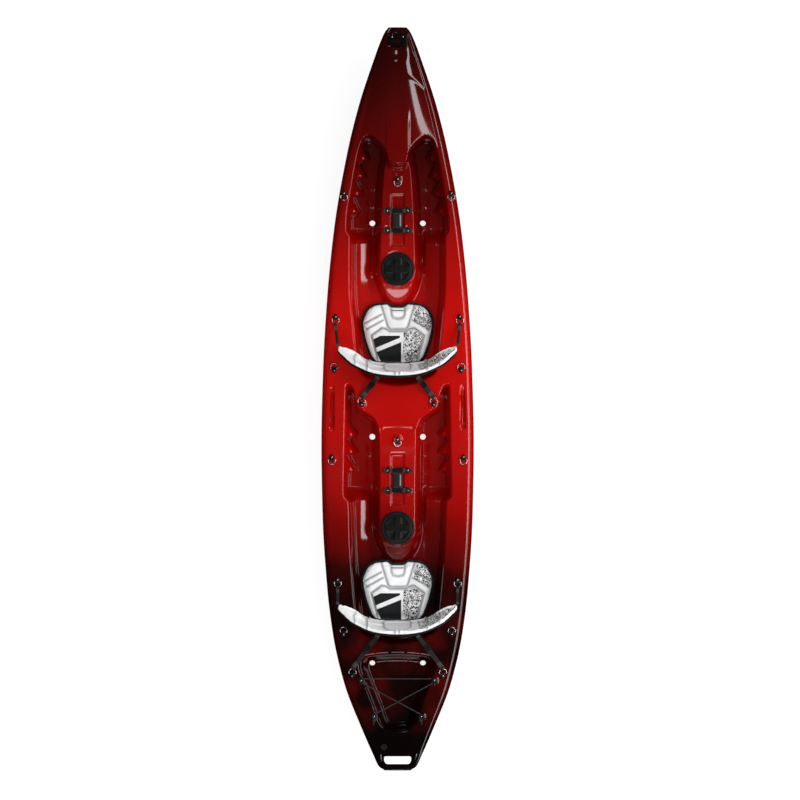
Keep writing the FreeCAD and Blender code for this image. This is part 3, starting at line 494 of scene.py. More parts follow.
def braid():
    """Braided cord. The weave attribute holds millimetres along and the section's two offsets."""
    net = Net("bungee")
    run = net.split(net.stored("weave", "Vector"))
    angle = net.math("ARCTAN2", run["Z"], run["Y"])
    twist = net.times(angle, 4)
    pace = net.times(run["X"], 1.7)
    left = net.sine(net.plus(pace, twist))
    right = net.sine(net.math("SUBTRACT", pace, twist))
    height = net.math("MAXIMUM", left, right)
    colour = net.ramp(net.spread(height, -1, 1), (0.1, (0.003, 0.0035, 0.0035)), (0.9, (0.014, 0.016, 0.016)))
    fleck = net.math("GREATER_THAN", net.times(left, right), 0.82)
    colour = net.mix(net.times(fleck, 0.35), colour, (0.12, 0.12, 0.12, 1))
    return net.finish(colour, 0.6, net.bump(height, 0.0006, 0.7))


def foam():
    net = Net("foam")
    beads = net.add("ShaderNodeTexVoronoi", {"Scale": 190.0, "Vector": net.place()})
    colour = net.ramp(beads.outputs["Distance"], (0.0, (0.5, 0.5, 0.49)), (0.7, (0.66, 0.66, 0.65)))
    return net.finish(colour, 0.85, net.bump(beads.outputs["Distance"], 0.001, 0.5))


MATERIALS = {
    "hull_plastic": hull_plastic(), "black_nylon": nylon(), "steel": steel(), "webbing": webbing(),
    "seat_fabric": seat_fabric(), "bungee": braid(), "foam": foam(),
    "seal_rubber": nylon("seal_rubber", 0.004, 0.7, 700),
    "handle_rubber": nylon("handle_rubber", 0.0008, 0.5, 420, 0.06),
    "plug_plastic": nylon("plug_plastic", 0.005, 0.35, 900), "trim": nylon("trim", 0.13, 0.6, 900),
}

# ---------------------------------------------------------------- where fittings sit
FORWARD, AFT = 0.0, 180.0
# A lug's point faces its local +Y and its ring lies towards its local -Y.
EYE_SPOTS = {
    "console_front": (0, 1090, FORWARD), "console_rear": (0, -211, FORWARD),
    "bow_port": (-268, 1018, FORWARD), "bow_starboard": (268, 1018, FORWARD),
    "mid_port": (-329, -302, FORWARD), "mid_starboard": (329, -302, FORWARD),
    "wing_front_port": (-317, 156, AFT), "wing_front_starboard": (317, 156, AFT),
    "wing_rear_port": (-270, -1163, AFT), "wing_rear_starboard": (270, -1163, AFT),
    "side_front_1": (311, 401, FORWARD), "side_front_-1": (-311, 401, FORWARD),
    "back_front_1": (180, -15, AFT), "back_front_-1": (-180, -15, AFT),
    "side_rear_1": (300, -915, FORWARD), "side_rear_-1": (-300, -915, FORWARD),
    "back_rear_1": (226, -1371, AFT), "back_rear_-1": (-226, -1371, AFT),
}
EYE_LIFT = 1.2
EYE_MIDDLE = 10.5
lug_solids = islands("eye_lugs")
eye_places = {}
flats = []
for spot_name, (spot_x, spot_y, spot_turn) in EYE_SPOTS.items():
    middle_y = spot_y + (EYE_MIDDLE if spot_turn == FORWARD else -EYE_MIDDLE)
    solid = min(lug_solids, key=lambda s: np.hypot(*(s.mean(0)[:2] - (spot_x, middle_y))))
    thin = np.linalg.svd(solid - solid.mean(0), full_matrices=False)[2][2]
    thin = thin if thin[2] > 0 else -thin
    foot = (solid @ thin).min()
    origin = np.array([spot_x + EYE_LIFT * thin[0], spot_y + EYE_LIFT * thin[1], 0.0])
    origin[2] = (foot - origin[0] * thin[0] - origin[1] * thin[1]) / thin[2]
    eye_places[spot_name] = at(origin, thin, spot_turn)
    middle = np.array(eye_places[spot_name] @ Vector((0, EYE_MIDDLE * MM, 0))) / MM
    flats.append((middle, thin, 18, 9))

LEVEL = np.array([0.0, 0.0, 1.0])


def foot_of(solid):
    low = solid[:, 2].min()
    centre = (solid.min(0) + solid.max(0)) / 2
    return np.array([centre[0], centre[1], low])


retainer_feet = [foot_of(s) for s in islands("retainer_lugs")]
button_feet = [foot_of(s) for s in islands("bungee_buttons")]
for foot in retainer_feet:
    flats.append((foot, LEVEL, 20, 8))
for foot in button_feet:
    flats.append((foot, LEVEL, 16.5, 8))
HATCH_NECK = 22
DRAIN_NECK = 16
hatch_feet = {}
for end in ("front", "rear"):
    low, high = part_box(f"hatch_{end}_rim")
    middle = (low + high) / 2 / MM
    hatch_feet[end] = np.array([middle.x, middle.y, low.z / MM + HATCH_NECK])
    flats.append((hatch_feet[end], LEVEL, 88, 8))
low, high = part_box("drain_collar")
middle = (low + high) / 2 / MM
drain_foot = np.array([middle.x, middle.y, low.z / MM + DRAIN_NECK])
flats.append((drain_foot, LEVEL, 19.5, 7))
handle_low, handle_high = (np.array(v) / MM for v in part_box("bow_handle"))

# ---------------------------------------------------------------- hull form
HALF_BEAM = ((-1856, 60), (-1838, 92), (-1784, 119), (-1664, 173), (-1424, 267), (-1184, 323),
             (-944, 353), (-584, 376), (-224, 382), (136, 374), (496, 354), (856, 318),
             (1216, 256), (1456, 198), (1700, 118), (1800, 80), (1846, 55), (1856, 40))
SHEER = ((-1856, 316), (-1500, 303), (-1000, 295), (0, 292), (600, 300), (1200, 328),
         (1600, 365), (1800, 386), (1856, 384))
KEEL = ((-1856, 284), (-1795, 280), (-1750, 215), (-1660, 112), (-1500, 42), (-1250, 5),
        (-1050, -2.5), (1050, -2.5), (1280, 8), (1500, 50), (1650, 108), (1760, 190),
        (1830, 290), (1856, 345))
CROWN = ((-1856, 4), (-1700, 8), (-1240, 18), (-900, 5), (-300, 4), (-110, 7), (0, 17), (400, 5), (1000, 20),
         (1400, 48), (1700, 30), (1856, 8))
SHOULDER = ((-1856, 24), (-1700, 34), (-1300, 45), (1300, 45), (1750, 30), (1856, 18))
SEAM = ((-1856, 0.5), (-1500, 0.62), (1500, 0.62), (1856, 0.5))
FRONT_WALL = ((60, 190), (150, 205), (263, 220), (343, 228), (583, 246), (810, 246), (845, 262),
              (884, 262), (1069, 236), (1211, 211), (1305, 185), (1400, 150))
REAR_WALL = ((-1230, 195), (-1140, 207), (-1027, 222), (-947, 230), (-707, 246), (-515, 252),
             (-482, 276), (-200, 272), (95, 266))
FRONT_TOE = ((0, 1178), (42, 1190), (55, 1240), (105, 1300), (144, 1322), (177, 1308), (220, 1240))
REAR_TOE = ((0, -112), (70, -118), (90, -140), (116, -96), (176, -52), (204, -32), (214, 30), (228, 66),
            (262, 90))
FRONT_CONSOLE = ((486, -110), (519, -10), (535, 30), (580, 64), (650, 84), (836, 80), (1150, 62),
                 (1190, 50))
REAR_CONSOLE = ((-804, -110), (-771, -10), (-755, 30), (-710, 64), (-640, 84), (-454, 84), (-140, 90))
FRONT_CONSOLE_TOP = ((470, 196), (500, 206), (545, 227), (585, 247), (612, 252), (1000, 256), (1190, 268))
REAR_CONSOLE_TOP = ((-820, 196), (-790, 206), (-745, 227), (-705, 247), (-678, 252), (-320, 255),
                    (-220, 276), (-110, 300))
FLOOR = ((150, 165), (500, 168), (600, 158), (700, 128), (800, 118), (1180, 128), (1250, 134),
         (1322, 150))
BANK_FLOOR = 150
TANK_WELL = ((-1680, 20), (-1662, 60), (-1620, 98), (-1540, 126), (-1420, 172), (-1330, 200),
             (-1290, 198), (-1262, 150))
TANK_FLOOR = 178
WALL = 5.0
SEAT_BACK_Y = 62
SEAT_BACK_SWEEP = 71
SEAT_BACK_HALF = 208
STEP_PITCH = 88
NOSE_ROUND = 650
NOSE_HALF = 84
NOSE_SQUEEZE = 0.6
FRONT_STEPS = [1194 - STEP_PITCH * k for k in range(4)]
REAR_STEPS = [-186 - STEP_PITCH * k for k in range(3)]
STEP_REACH = 46
STEP_LENGTH = 72
UPPER_WALL = 0.4
WALL_SOFT = 40
HEEL_DEPTH = 7
THIGH_SLOPE = 0.37
BOTTLE_CENTRES = (895, -403)
SCUPPER_X = 127
SCUPPER_Y = (884, -189, -1324)
SCUPPER_RADIUS = 14.5
SCUPPER_WALL = 6
END_ROUND = 6.0


def cockpit(x, y, z, wall, toe, console, top, shift, steps, heels):
    """Sink one cockpit, with its console, foot steps and heel scoops, into a deck at height z."""
    a = np.abs(x)
    back = SEAT_BACK_Y - shift + SEAT_BACK_SWEEP * (a / SEAT_BACK_HALF) ** 2
    outer = curve(wall, y)
    local = y + shift
    # Wedge-shaped foot steps stand out from the lower part of the outer wall, with their faces aft.
    tooth = np.zeros_like(a)
    for aft in steps:
        wedge = np.clip(1 - (y - aft) / STEP_LENGTH, 0, 1) * ramp(y - aft + 9, 18)
        tooth = np.maximum(tooth, STEP_REACH * wedge)
    wall_share = UPPER_WALL * ramp(outer - a, WALL_SOFT)
    wall_share = wall_share + (1 - UPPER_WALL) * ramp(outer - 6 - tooth - a, 34)
    inside = wall_share * ramp(curve(toe, a) - y, 34) * ramp(y - back, 68)
    # Beside the thighs the trough is an even bank that climbs away from the console.
    thigh = ramp(local - 470, 150) * ramp(860 - local, 90)
    floor = curve(FLOOR, local)
    floor = floor + (BANK_FLOOR - floor) * thigh * ramp(a - 122, 26)
    floor = floor + THIGH_SLOPE * thigh * climb(a, 129, 190, 7)
    crest = curve(top, y)
    edge = curve(console, y)
    # The console ends aft in a rounded nose that slopes down to the seat.
    nose = np.hypot(a, np.clip(NOSE_ROUND - local, 0, None) * NOSE_SQUEEZE) - NOSE_HALF
    past = np.where(local < NOSE_ROUND, nose, a - edge)
    bottom = crest + (floor - crest) * ramp(past, 42)
    # Shallow heel scoops beside the console, parted by cross ridges.
    first, last = heels
    lane = ramp(a - edge - 20, 26) * ramp(172 - a, 34) * ramp(first - y, 44) * ramp(y - last, 44)
    beat = np.mod((first - y) / STEP_PITCH, 1.0)
    scoop = np.clip(1 - (2 * beat - 1) ** 4, 0, 1)
    bottom = bottom - HEEL_DEPTH * lane * (0.25 + 0.75 * scoop)
    return z + (bottom - z) * inside


def deck(x, y):
    """Deck height with its moulded detail."""
    x = np.asarray(x, float)
    y = np.asarray(y, float)
    half = curve(HALF_BEAM, y) - curve(SHOULDER, y)
    z = curve(SHEER, y) + curve(CROWN, y) * np.clip(1 - (x / half) ** 2, 0, None)
    # Foredeck spine, the crease across the bow, and a dip behind the handle.
    spine = hump(x, 0, 50, 16) * ramp(1500 - y, 220) * ramp(y - 1205, 90)
    z = z + 6 * spine
    z = z + 5 * ramp(y - (1612 - 0.0042 * x * x), 20) * ramp(1750 - y, 70)
    z = z - 5 * hump(x, 0, 16, 50) * hump(y, 1732, 8, 48)
    z = cockpit(x, y, z, FRONT_WALL, FRONT_TOE, FRONT_CONSOLE, FRONT_CONSOLE_TOP, 0,
                FRONT_STEPS, (1128, 820))
    z = cockpit(x, y, z, REAR_WALL, REAR_TOE, REAR_CONSOLE, REAR_CONSOLE_TOP, PITCH,
                REAR_STEPS, (-191, -460))
    fore = ramp(-1266 - 20 * (x / 190) ** 2 - y, 44)
    aft = ramp(y + 1664 - 0.0015 * x * x, 44)
    z = z + (TANK_FLOOR - z) * ramp(curve(TANK_WELL, y) - np.abs(x), 56) * fore * aft
    # Side grab recesses, console bottle recesses and the rim round the stern handle.
    z = z - 20 * ramp(15 - np.abs(np.abs(x) - 329), 9) * ramp(84 - y, 70) * ramp(y + 160, 40)
    for centre in BOTTLE_CENTRES:
        z = z - 9 * hump(x, 0, 27, 11) * hump(y, centre, 122, 12)
    z = z + 5 * hump(np.abs(x), 94, 7, 9) * ramp(-1758 - y, 30)
    # Scuppers are countersunk.
    for spot in SCUPPER_Y:
        z = z - 3 * hump(np.hypot(np.abs(x) - SCUPPER_X, y - spot), 0, 15, 9)
    # Fittings stand on flats.
    for (cx, cy, cz), normal, radius, soft in flats:
        if abs(float(np.mean(y)) - cy) < radius + soft + 8:
            share = ramp(radius + soft - np.hypot(x - cx, y - cy), soft)
            plane = cz - (normal[0] * (x - cx) + normal[1] * (y - cy)) / normal[2]
            z = z + (plane - z) * share
    bay = hump(x, 0, handle_high[0] + 2, 4) * hump(y, (handle_low[1] + handle_high[1]) / 2,
                                                 (handle_high[1] - handle_low[1]) / 2 + 2, 4)
    return z + (handle_low[2] - z) * bay


def lowest_near(x, y, reach):
    """Lowest deck height within reach of each point, so that the hollow stays inside steep walls."""
    steps = np.linspace(-reach, reach, 5)
    low = deck(x, y)
    for dx in steps:
        for dy in steps:
            low = np.minimum(low, deck(x + dx, y + dy))
    return low


def spline_rows(control, samples):
    """Clamped uniform cubic B-spline through rows of control points."""
    n = len(control)
    knots = np.concatenate([[0] * 3, np.arange(n - 2), [n - 3] * 3]).astype(float)
    t = np.linspace(0, n - 3, samples)
    t[-1] -= 1e-9
    basis = np.array([(t >= knots[i]) & (t < knots[i + 1]) for i in range(n + 3)], float)
    for degree in (1, 2, 3):
        lifted = []
        for i in range(n + 3 - degree):
            left = knots[i + degree] - knots[i]
            right = knots[i + degree + 1] - knots[i + 1]
            term = np.zeros_like(t)
            if left > 0:
                term = term + (t - knots[i]) / left * basis[i]
            if right > 0:
                term = term + (knots[i + degree + 1] - t) / right * basis[i + 1]
            lifted.append(term)
        basis = np.array(lifted)
    return basis.T @ np.array(control, float)


HOLLOW_REACH = 17


def ring_at(y, inset, across, around):
    """Closed section of the hull at y: deck, then sides and bottom."""
    beam = float(curve(HALF_BEAM, y)) - inset
    shoulder = float(curve(SHOULDER, y))
    top = float(curve(SHEER, y)) - inset
    keel = float(curve(KEEL, y)) + inset
    seam = keel + (top - keel) * float(curve(SEAM, y))
    flat = beam + inset - shoulder
    mid = float(ramp(1500 - abs(y), 500))
    x = np.linspace(-flat, flat, across)
    level = np.full(across, y)
    z = lowest_near(x, level, HOLLOW_REACH) - inset if inset else deck(x, level)
    upper = np.stack([x, level, z], 1)
    drop = top - seam
    control = [(flat, top), (flat + 0.3 * shoulder, top), (beam - 0.42 * shoulder, top - 0.03 * drop),
               (beam - 0.12 * shoulder, top - 0.2 * drop), (beam, top - 0.6 * drop), (beam, seam),
               (beam, seam - 0.3 * (seam - keel))]
    for q in np.linspace(1, 0, 8):
        channel = 0.05 * math.exp(-((q - 0.4) / 0.13) ** 2)
        full = 0.03 * q + 0.12 * q * q + 0.25 * q ** 8 + channel
        rise = 0.35 * q ** 1.3 + (full - 0.35 * q ** 1.3) * mid
        control.append((0.97 * beam * q, keel + (seam - keel) * rise))
    control += [(-u, v) for u, v in reversed(control[:-1])]
    lower = spline_rows(control, around)[1:-1]
    lower = np.stack([lower[:, 0], np.full(len(lower), y), np.maximum(lower[:, 1], inset)], 1)
    return np.concatenate([upper, lower])


def hull_form(name, start, stop, step, inset, across, around):
    rings = [ring_at(float(y), inset, across, around) for y in spaced(start, stop, step)]
    if not inset:
        # Round the blunt ends over their last few millimetres.
        for end, sign in ((0, -1), (-1, 1)):
            face = rings[end]
            centre = face.mean(0)
            extra = []
            for turn in (0.35, 0.7, 0.95):
                small = centre + (face - centre) * (1 - 0.16 * (1 - math.cos(turn * math.pi / 2)))
                small[:, 1] = face[0, 1] + sign * END_ROUND * math.sin(turn * math.pi / 2)
                extra.append(small)
            rings = extra[::-1] + rings if sign < 0 else rings + extra
    return tube_of_rings(name, rings)


def combine(base, tool, operation):
    """Apply one boolean and remove its tool."""
    modifier = base.modifiers.new(operation, "BOOLEAN")
    modifier.operation = operation
    modifier.solver = "MANIFOLD"
    modifier.object = tool
    bpy.context.view_layer.objects.active = base
    bpy.ops.object.modifier_apply(modifier=modifier.name)
    bpy.data.objects.remove(tool)


def prism(name, outline, low, high):
    """Closed upright solid from an outline."""
    rings = [np.column_stack([outline, np.full(len(outline), h)]) for h in (low, high)]
    return tube_of_rings(name, rings)


def disc(x, y, radius, sides=72):
    turn = np.linspace(0, 2 * math.pi, sides, endpoint=False)
    return np.column_stack([x + radius * np.cos(turn), y + radius * np.sin(turn)])


HULL_LO, HULL_HI = (np.array(v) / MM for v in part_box("hull_shell"))
# Points across the deck and round the rest of each section, and the gap between sections.
SHELL_GRID = (181, 150)
SHELL_GAP = 6
HOLLOW_GRID = (91, 76)
HOLLOW_GAP = 12
HOLLOW_ENDS = (-1760, 1836)
STERN_SLOT = ((-68, -1785), (-68, -1808), (-58, -1825), (58, -1825), (68, -1808), (68, -1785))
HATCH_OPENING = 62
DRAIN_OPENING = 12


def build_hull():
    shell = hull_form("hull", HULL_LO[1] + END_ROUND, HULL_HI[1] - END_ROUND, SHELL_GAP, 0, *SHELL_GRID)
    hollow = hull_form("hollow", *HOLLOW_ENDS, HOLLOW_GAP, WALL, *HOLLOW_GRID)
    sides = [(side * SCUPPER_X, y) for y in SCUPPER_Y for side in (1, -1)]
    tubes = [prism("tube", disc(*spot, SCUPPER_RADIUS + SCUPPER_WALL), -20, 400) for spot in sides]
    combine(hollow, joined("tubes", tubes), "DIFFERENCE")
    combine(shell, hollow, "DIFFERENCE")
    holes = [prism("hole", disc(*spot, SCUPPER_RADIUS), -20, 330) for spot in sides]
    for foot in hatch_feet.values():
        holes.append(prism("hole", disc(foot[0], foot[1], HATCH_OPENING), foot[2] - 60, foot[2] + 60))
    holes.append(prism("hole", disc(drain_foot[0], drain_foot[1], DRAIN_OPENING),
                       drain_foot[2] - 40, drain_foot[2] + 40))
    holes.append(prism("hole", rounded(STERN_SLOT, 13, 8), 200, 420))
    combine(shell, joined("holes", holes), "DIFFERENCE")
    shell.data.shade_smooth()
    shell.data.set_sharp_from_angle(angle=math.radians(55))
    return shell


piece(build_hull(), "hull", "hull_plastic", "hull_shell")

# ---------------------------------------------------------------- screws
SCREW_HEAD = 4.2
SCREW_RISE = 2.4


def screw_master():
    """Pan head with a cross recess, on a short shank."""
    head = turned("screw", [(0.01, -9), (1.6, -8), (2.1, -6), (2.1, 0), (SCREW_HEAD, 0),
                            (SCREW_HEAD, 0.7), (3.9, 1.5), (3.1, 2.1), (1.6, SCREW_RISE),
                            (0.01, SCREW_RISE)], 32)
    slots = []
    for turn in (0, 90):
        slots.append(slab("slot", [[(-2.3, -0.45), (2.3, -0.45), (2.3, 0.45), (-2.3, 0.45)]], 1.1, 5, 0.05))
        slots[-1].data.transform(Matrix.Rotation(math.radians(turn), 4, "Z"))
    for slot in slots:
        combine(head, slot, "DIFFERENCE")
    head.data.set_sharp_from_angle(angle=math.radians(30))
    return head


SCREW_FORWARD = 12
EYE_HEIGHT = 9


def set_screws(name, places, slot, *replaced):
    return piece(stamped(name, screw_master(), places), "hull", slot, *replaced)


def raised(place, x, y, z):
    return place @ Matrix.Translation((x * MM, y * MM, z * MM))


set_screws("pad_eye_screws", [raised(p, 0, SCREW_FORWARD, EYE_HEIGHT - 1.5) for p in eye_places.values()],
           "steel", "eye_screws")
for end in ("front", "rear"):
    hatch_at = at(hatch_feet[end])
    places = []
    for k in range(6):
        places.append(raised(hatch_at @ Matrix.Rotation(math.radians(60 * k), 4, "Z"), 74, 0, 4))
    set_screws(f"hatch_{end}_rim_screws", places, "steel", f"hatch_{end}_screws")
RETAINER_LUG_RISE = 5
set_screws("retainer_lug_screws", [raised(at(foot), 0, 0, RETAINER_LUG_RISE + 2) for foot in retainer_feet],
           "steel", "retainer_screws")
BUTTON_TOP = 16.1
set_screws("bungee_button_screws", [raised(at(foot), 0, 0, BUTTON_TOP - 1.5) for foot in button_feet],
           "steel", "button_screws")

# ---------------------------------------------------------------- pad eyes
LUG_HALF = ((0, -5), (11, -5), (13, -3), (13, 8), (6.5, 23), (2.5, 26), (0, 26))


def lug_master():
    """Teardrop lug with a domed top, hollowed round its screw."""
    outline = rounded(mirror(LUG_HALF[1:-1]), 5, 6)
    stages = ((1, -1.5), (1, 3.4), (0.975, 5.4), (0.91, 7.2), (0.8, 8.5), (0.62, 9.0), (0.4, 9.0))
    body = tapered("lug", outline, np.array([0, 8.0]), stages)
    well = turned("well", [(0.01, EYE_HEIGHT - 1.5), (5.4, EYE_HEIGHT - 1.5), (5.9, EYE_HEIGHT + 2),
                           (0.01, EYE_HEIGHT + 2)], 32)
    well.data.transform(Matrix.Translation((0, SCREW_FORWARD * MM, 0)))
    combine(body, well, "DIFFERENCE")
    body.data.set_sharp_from_angle(angle=math.radians(35))
    return body


piece(stamped("pad_eye_lugs", lug_master(), list(eye_places.values())), "hull", "black_nylon", "eye_lugs")

# ---------------------------------------------------------------- hatches
GRIP_OUTER = 59
GRIP_WEB = 13
GRIP_FLOOR = 7.6


def lid_master():
    """Screw-in lid with a cross grip between four scooped pockets."""
    lid = turned("lid", [(0.01, -10), (54, -10), (55.9, -8), (55.9, 6.5), (81, 6.5), (81, 1), (82.5, 0.8),
                         (84, 2.2), (84, 7.4), (83.2, 9.2), (81, 10.6), (77, 11.4), (74, 11.3), (72.6, 10.6),
                         (71, 10.6), (69.6, 11.4), (66, 12.4), (40, 13), (0.01, 13)], 128)
    pockets = []
    for k in range(4):
        arc = [(GRIP_OUTER * math.cos(t), GRIP_OUTER * math.sin(t))
               for t in np.linspace(math.radians(14), math.radians(76), 9)]
        outline = rounded([(GRIP_WEB, GRIP_WEB)] + arc, 11, 6)
        stages = ((0.3, GRIP_FLOOR), (0.62, GRIP_FLOOR + 0.5), (0.82, GRIP_FLOOR + 1.8),
                  (0.93, GRIP_FLOOR + 3.6), (1.0, GRIP_FLOOR + 5.0), (1.04, 14.5))
        pocket = tapered("pocket", outline, outline.mean(0), stages)
        pocket.data.transform(Matrix.Rotation(math.radians(90 * k), 4, "Z"))
        pockets.append(pocket)
    combine(lid, joined("pockets", pockets), "DIFFERENCE")
    lid.data.set_sharp_from_angle(angle=math.radians(40))
    return lid


lid = lid_master()
for end in ("front", "rear"):
    placed = copied(lid, f"hatch_{end}_screw_lid", at(hatch_feet[end]))
    piece(placed, f"hatch_{end}_lid", "black_nylon", f"hatch_{end}_lid")
bpy.data.objects.remove(lid)


# ---------------------------------------------------------------- cords and tapes
def unit(v):
    return v / np.linalg.norm(v)


def sweep(name, path, section, up, marks=None):
    """Carry a closed section along a path. The weave attribute is millimetres along, then the section's own
    coordinates; marks fills its last value for a tape's stitched stretches."""
    path = np.asarray(path, float)
    tangents = np.gradient(path, axis=0)
    tangents /= np.linalg.norm(tangents, axis=1)[:, None]
    up = np.broadcast_to(np.asarray(up, float), path.shape).copy()
    gone = travelled(path)
    rings = []
    weave = []
    for i, (spot, ahead) in enumerate(zip(path, tangents)):
        side = unit(np.cross(ahead, up[i]))
        rise = np.cross(side, ahead)
        rings.append(spot + np.outer(section[:, 0], side) + np.outer(section[:, 1], rise))
        last = section[:, 1] if marks is None else np.full(len(section), marks[i])
        weave.append(np.column_stack([np.full(len(section), gone[i]), section[:, 0], last]))
    obj = tube_of_rings(name, rings)
    attribute = obj.data.attributes.new("weave", "FLOAT_VECTOR", "POINT")
    attribute.data.foreach_set("vector", np.concatenate(weave).ravel().astype(np.float32))
    return obj


def tape(name, path, width, thickness, up, marks=None):
    """Flat woven tape with soft edges."""
    w, t = width / 2, thickness / 2
    section = np.array([(-w, 0), (-w + 0.5, t), (-w / 2, t), (0, t), (w / 2, t), (w - 0.5, t), (w, 0),
                        (w - 0.5, -t), (w / 2, -t), (0, -t), (-w / 2, -t), (-w + 0.5, -t)])
    return sweep(name, path, section, up, marks)


def cord(name, path, radius, sides=12):
    turn = np.linspace(0, 2 * math.pi, sides, endpoint=False)
    return sweep(name, path, np.column_stack([radius * np.cos(turn), radius * np.sin(turn)]), (0, 0, 1))


def resampled(path, gap):
    path = np.asarray(path, float)
    gone = travelled(path)
    steps = np.linspace(0, gone[-1], max(int(gone[-1] / gap), 4) + 1)
    return np.column_stack([np.interp(steps, gone, path[:, k]) for k in range(3)])


def softened(path, rounds):
    for _ in range(rounds):
        path[1:-1] = (path[:-2] + 2 * path[1:-1] + path[2:]) / 4
    return path


# ---------------------------------------------------------------- bungee
CORD = 3.3
BUTTON_NECK = 5
CORD_RISE = 7.8
BUTTON_PROFILE = [(2.4, 0), (14.5, 0), (14.5, 2), (13.2, 4), (6.4, 4.4), (5, 5.6), (5, 10), (6.2, 11.3),
                  (13.6, 11.6), (14.5, 12.6), (14.2, 14), (12.6, 15.6), (10, 16.1), (6, 15.6),
                  (5, 14.6), (2.4, 14.6)]
button = turned("button", BUTTON_PROFILE)
piece(stamped("bungee_button_set", button, [at(foot) for foot in button_feet]), "hull", "black_nylon",
      "bungee_buttons")


def buttons_on(side):
    """The aft and the fore button on one side."""
    return sorted((f for f in button_feet if f[0] * side > 0), key=lambda f: f[1])


def wrap(foot, start, stop):
    """The cord's turn round a button, between two angles."""
    turn = np.radians(np.linspace(start, stop, 9))
    return [(foot[0] + reach * math.cos(t), foot[1] + reach * math.sin(t), foot[2] + CORD_RISE) for t in turn]


def knot(centre, size):
    """Trefoil knot."""
    t = np.linspace(0, 2 * math.pi, 60)
    return np.column_stack([centre[0] + size * (np.sin(t) + 2 * np.sin(2 * t)) / 3,
                            centre[1] + size * (np.cos(t) - 2 * np.cos(2 * t)) / 3,
                            centre[2] - size * np.sin(3 * t) / 3])


reach = BUTTON_NECK + CORD + 0.3
port_aft, port_fore = buttons_on(-1)
star_aft, star_fore = buttons_on(1)
run = np.degrees(math.atan2(star_fore[1] - port_aft[1], star_fore[0] - port_aft[0]))
lace = wrap(port_aft, 250, run + 90) + wrap(star_fore, run - 90, 90)
lace += wrap(port_fore, 90, 270 - run) + wrap(star_aft, 90 - run, -70)
lace = resampled(lace, 4)
# One diagonal rides over the other where they cross.
middle_y = (port_aft[1] + star_fore[1]) / 2
near = hump(lace[:, 1], middle_y, 8, 45) * hump(lace[:, 0], 0, 14, 80)
over = np.where(np.arange(len(lace)) < len(lace) / 2, -1, 1)
lace[:, 2] += near * over * (CORD + 0.4)
laced = cord("lace", softened(lace, 2), CORD)
ends = []
for foot, side in ((port_aft, -1), (star_aft, 1)):
    spot = (foot[0] - side * 2, foot[1] - 19, foot[2] + 6)
    ends.append(cord("knot", knot(spot, 7.5), CORD * 0.9))
    tail = [(foot[0] - side * 3, foot[1] - reach, foot[2] + CORD_RISE), spot,
            (spot[0] + side * 5, spot[1] - 12, spot[2] - 1),
            (spot[0] + side * 4, spot[1] - 24, spot[2] - 2.2)]
    ends.append(cord("tail", softened(resampled(tail, 3), 4), CORD * 0.9))
piece(joined("bungee_lace", [laced] + ends), "hull", "bungee", "bungee_cord")

# ---------------------------------------------------------------- bottle retainers
RETAINER_HALF_SPAN = 75
RETAINER_TAPE = 19
LUG_PLATE = [(-12, -14), (-9, -18), (-5, -18), (12, -8), (12, 8), (-5, 18), (-9, 18), (-12, 14)]
retainer_master = slab("lug", [rounded(LUG_PLATE, 2.5, 4)], -1, RETAINER_LUG_RISE, 1.4)
lug_turns = [at(foot, LEVEL, 0 if foot[0] > 0 else 180) for foot in retainer_feet]
piece(stamped("retainer_lug_set", retainer_master, lug_turns), "hull", "black_nylon", "retainer_lugs")


def triglide():
    """Slider frame with a middle bar, and rounded ends."""
    windows = [oblong(x, x + 16, -9.7, 9.7, 1.5, 4) for x in (-19, 3)]
    plate = slab("slider", [oblong(-24, 24, -12.5, 12.5, 4, 5)] + windows, 0, 4, 1.1)
    bars = [slab("bar", [oblong(x - 2.2, x + 2.2, -10.5, 10.5, 1, 3)], 1.2, 5.2, 1.2) for x in (-9.5, 11)]
    return joined("slider", [plate] + bars)


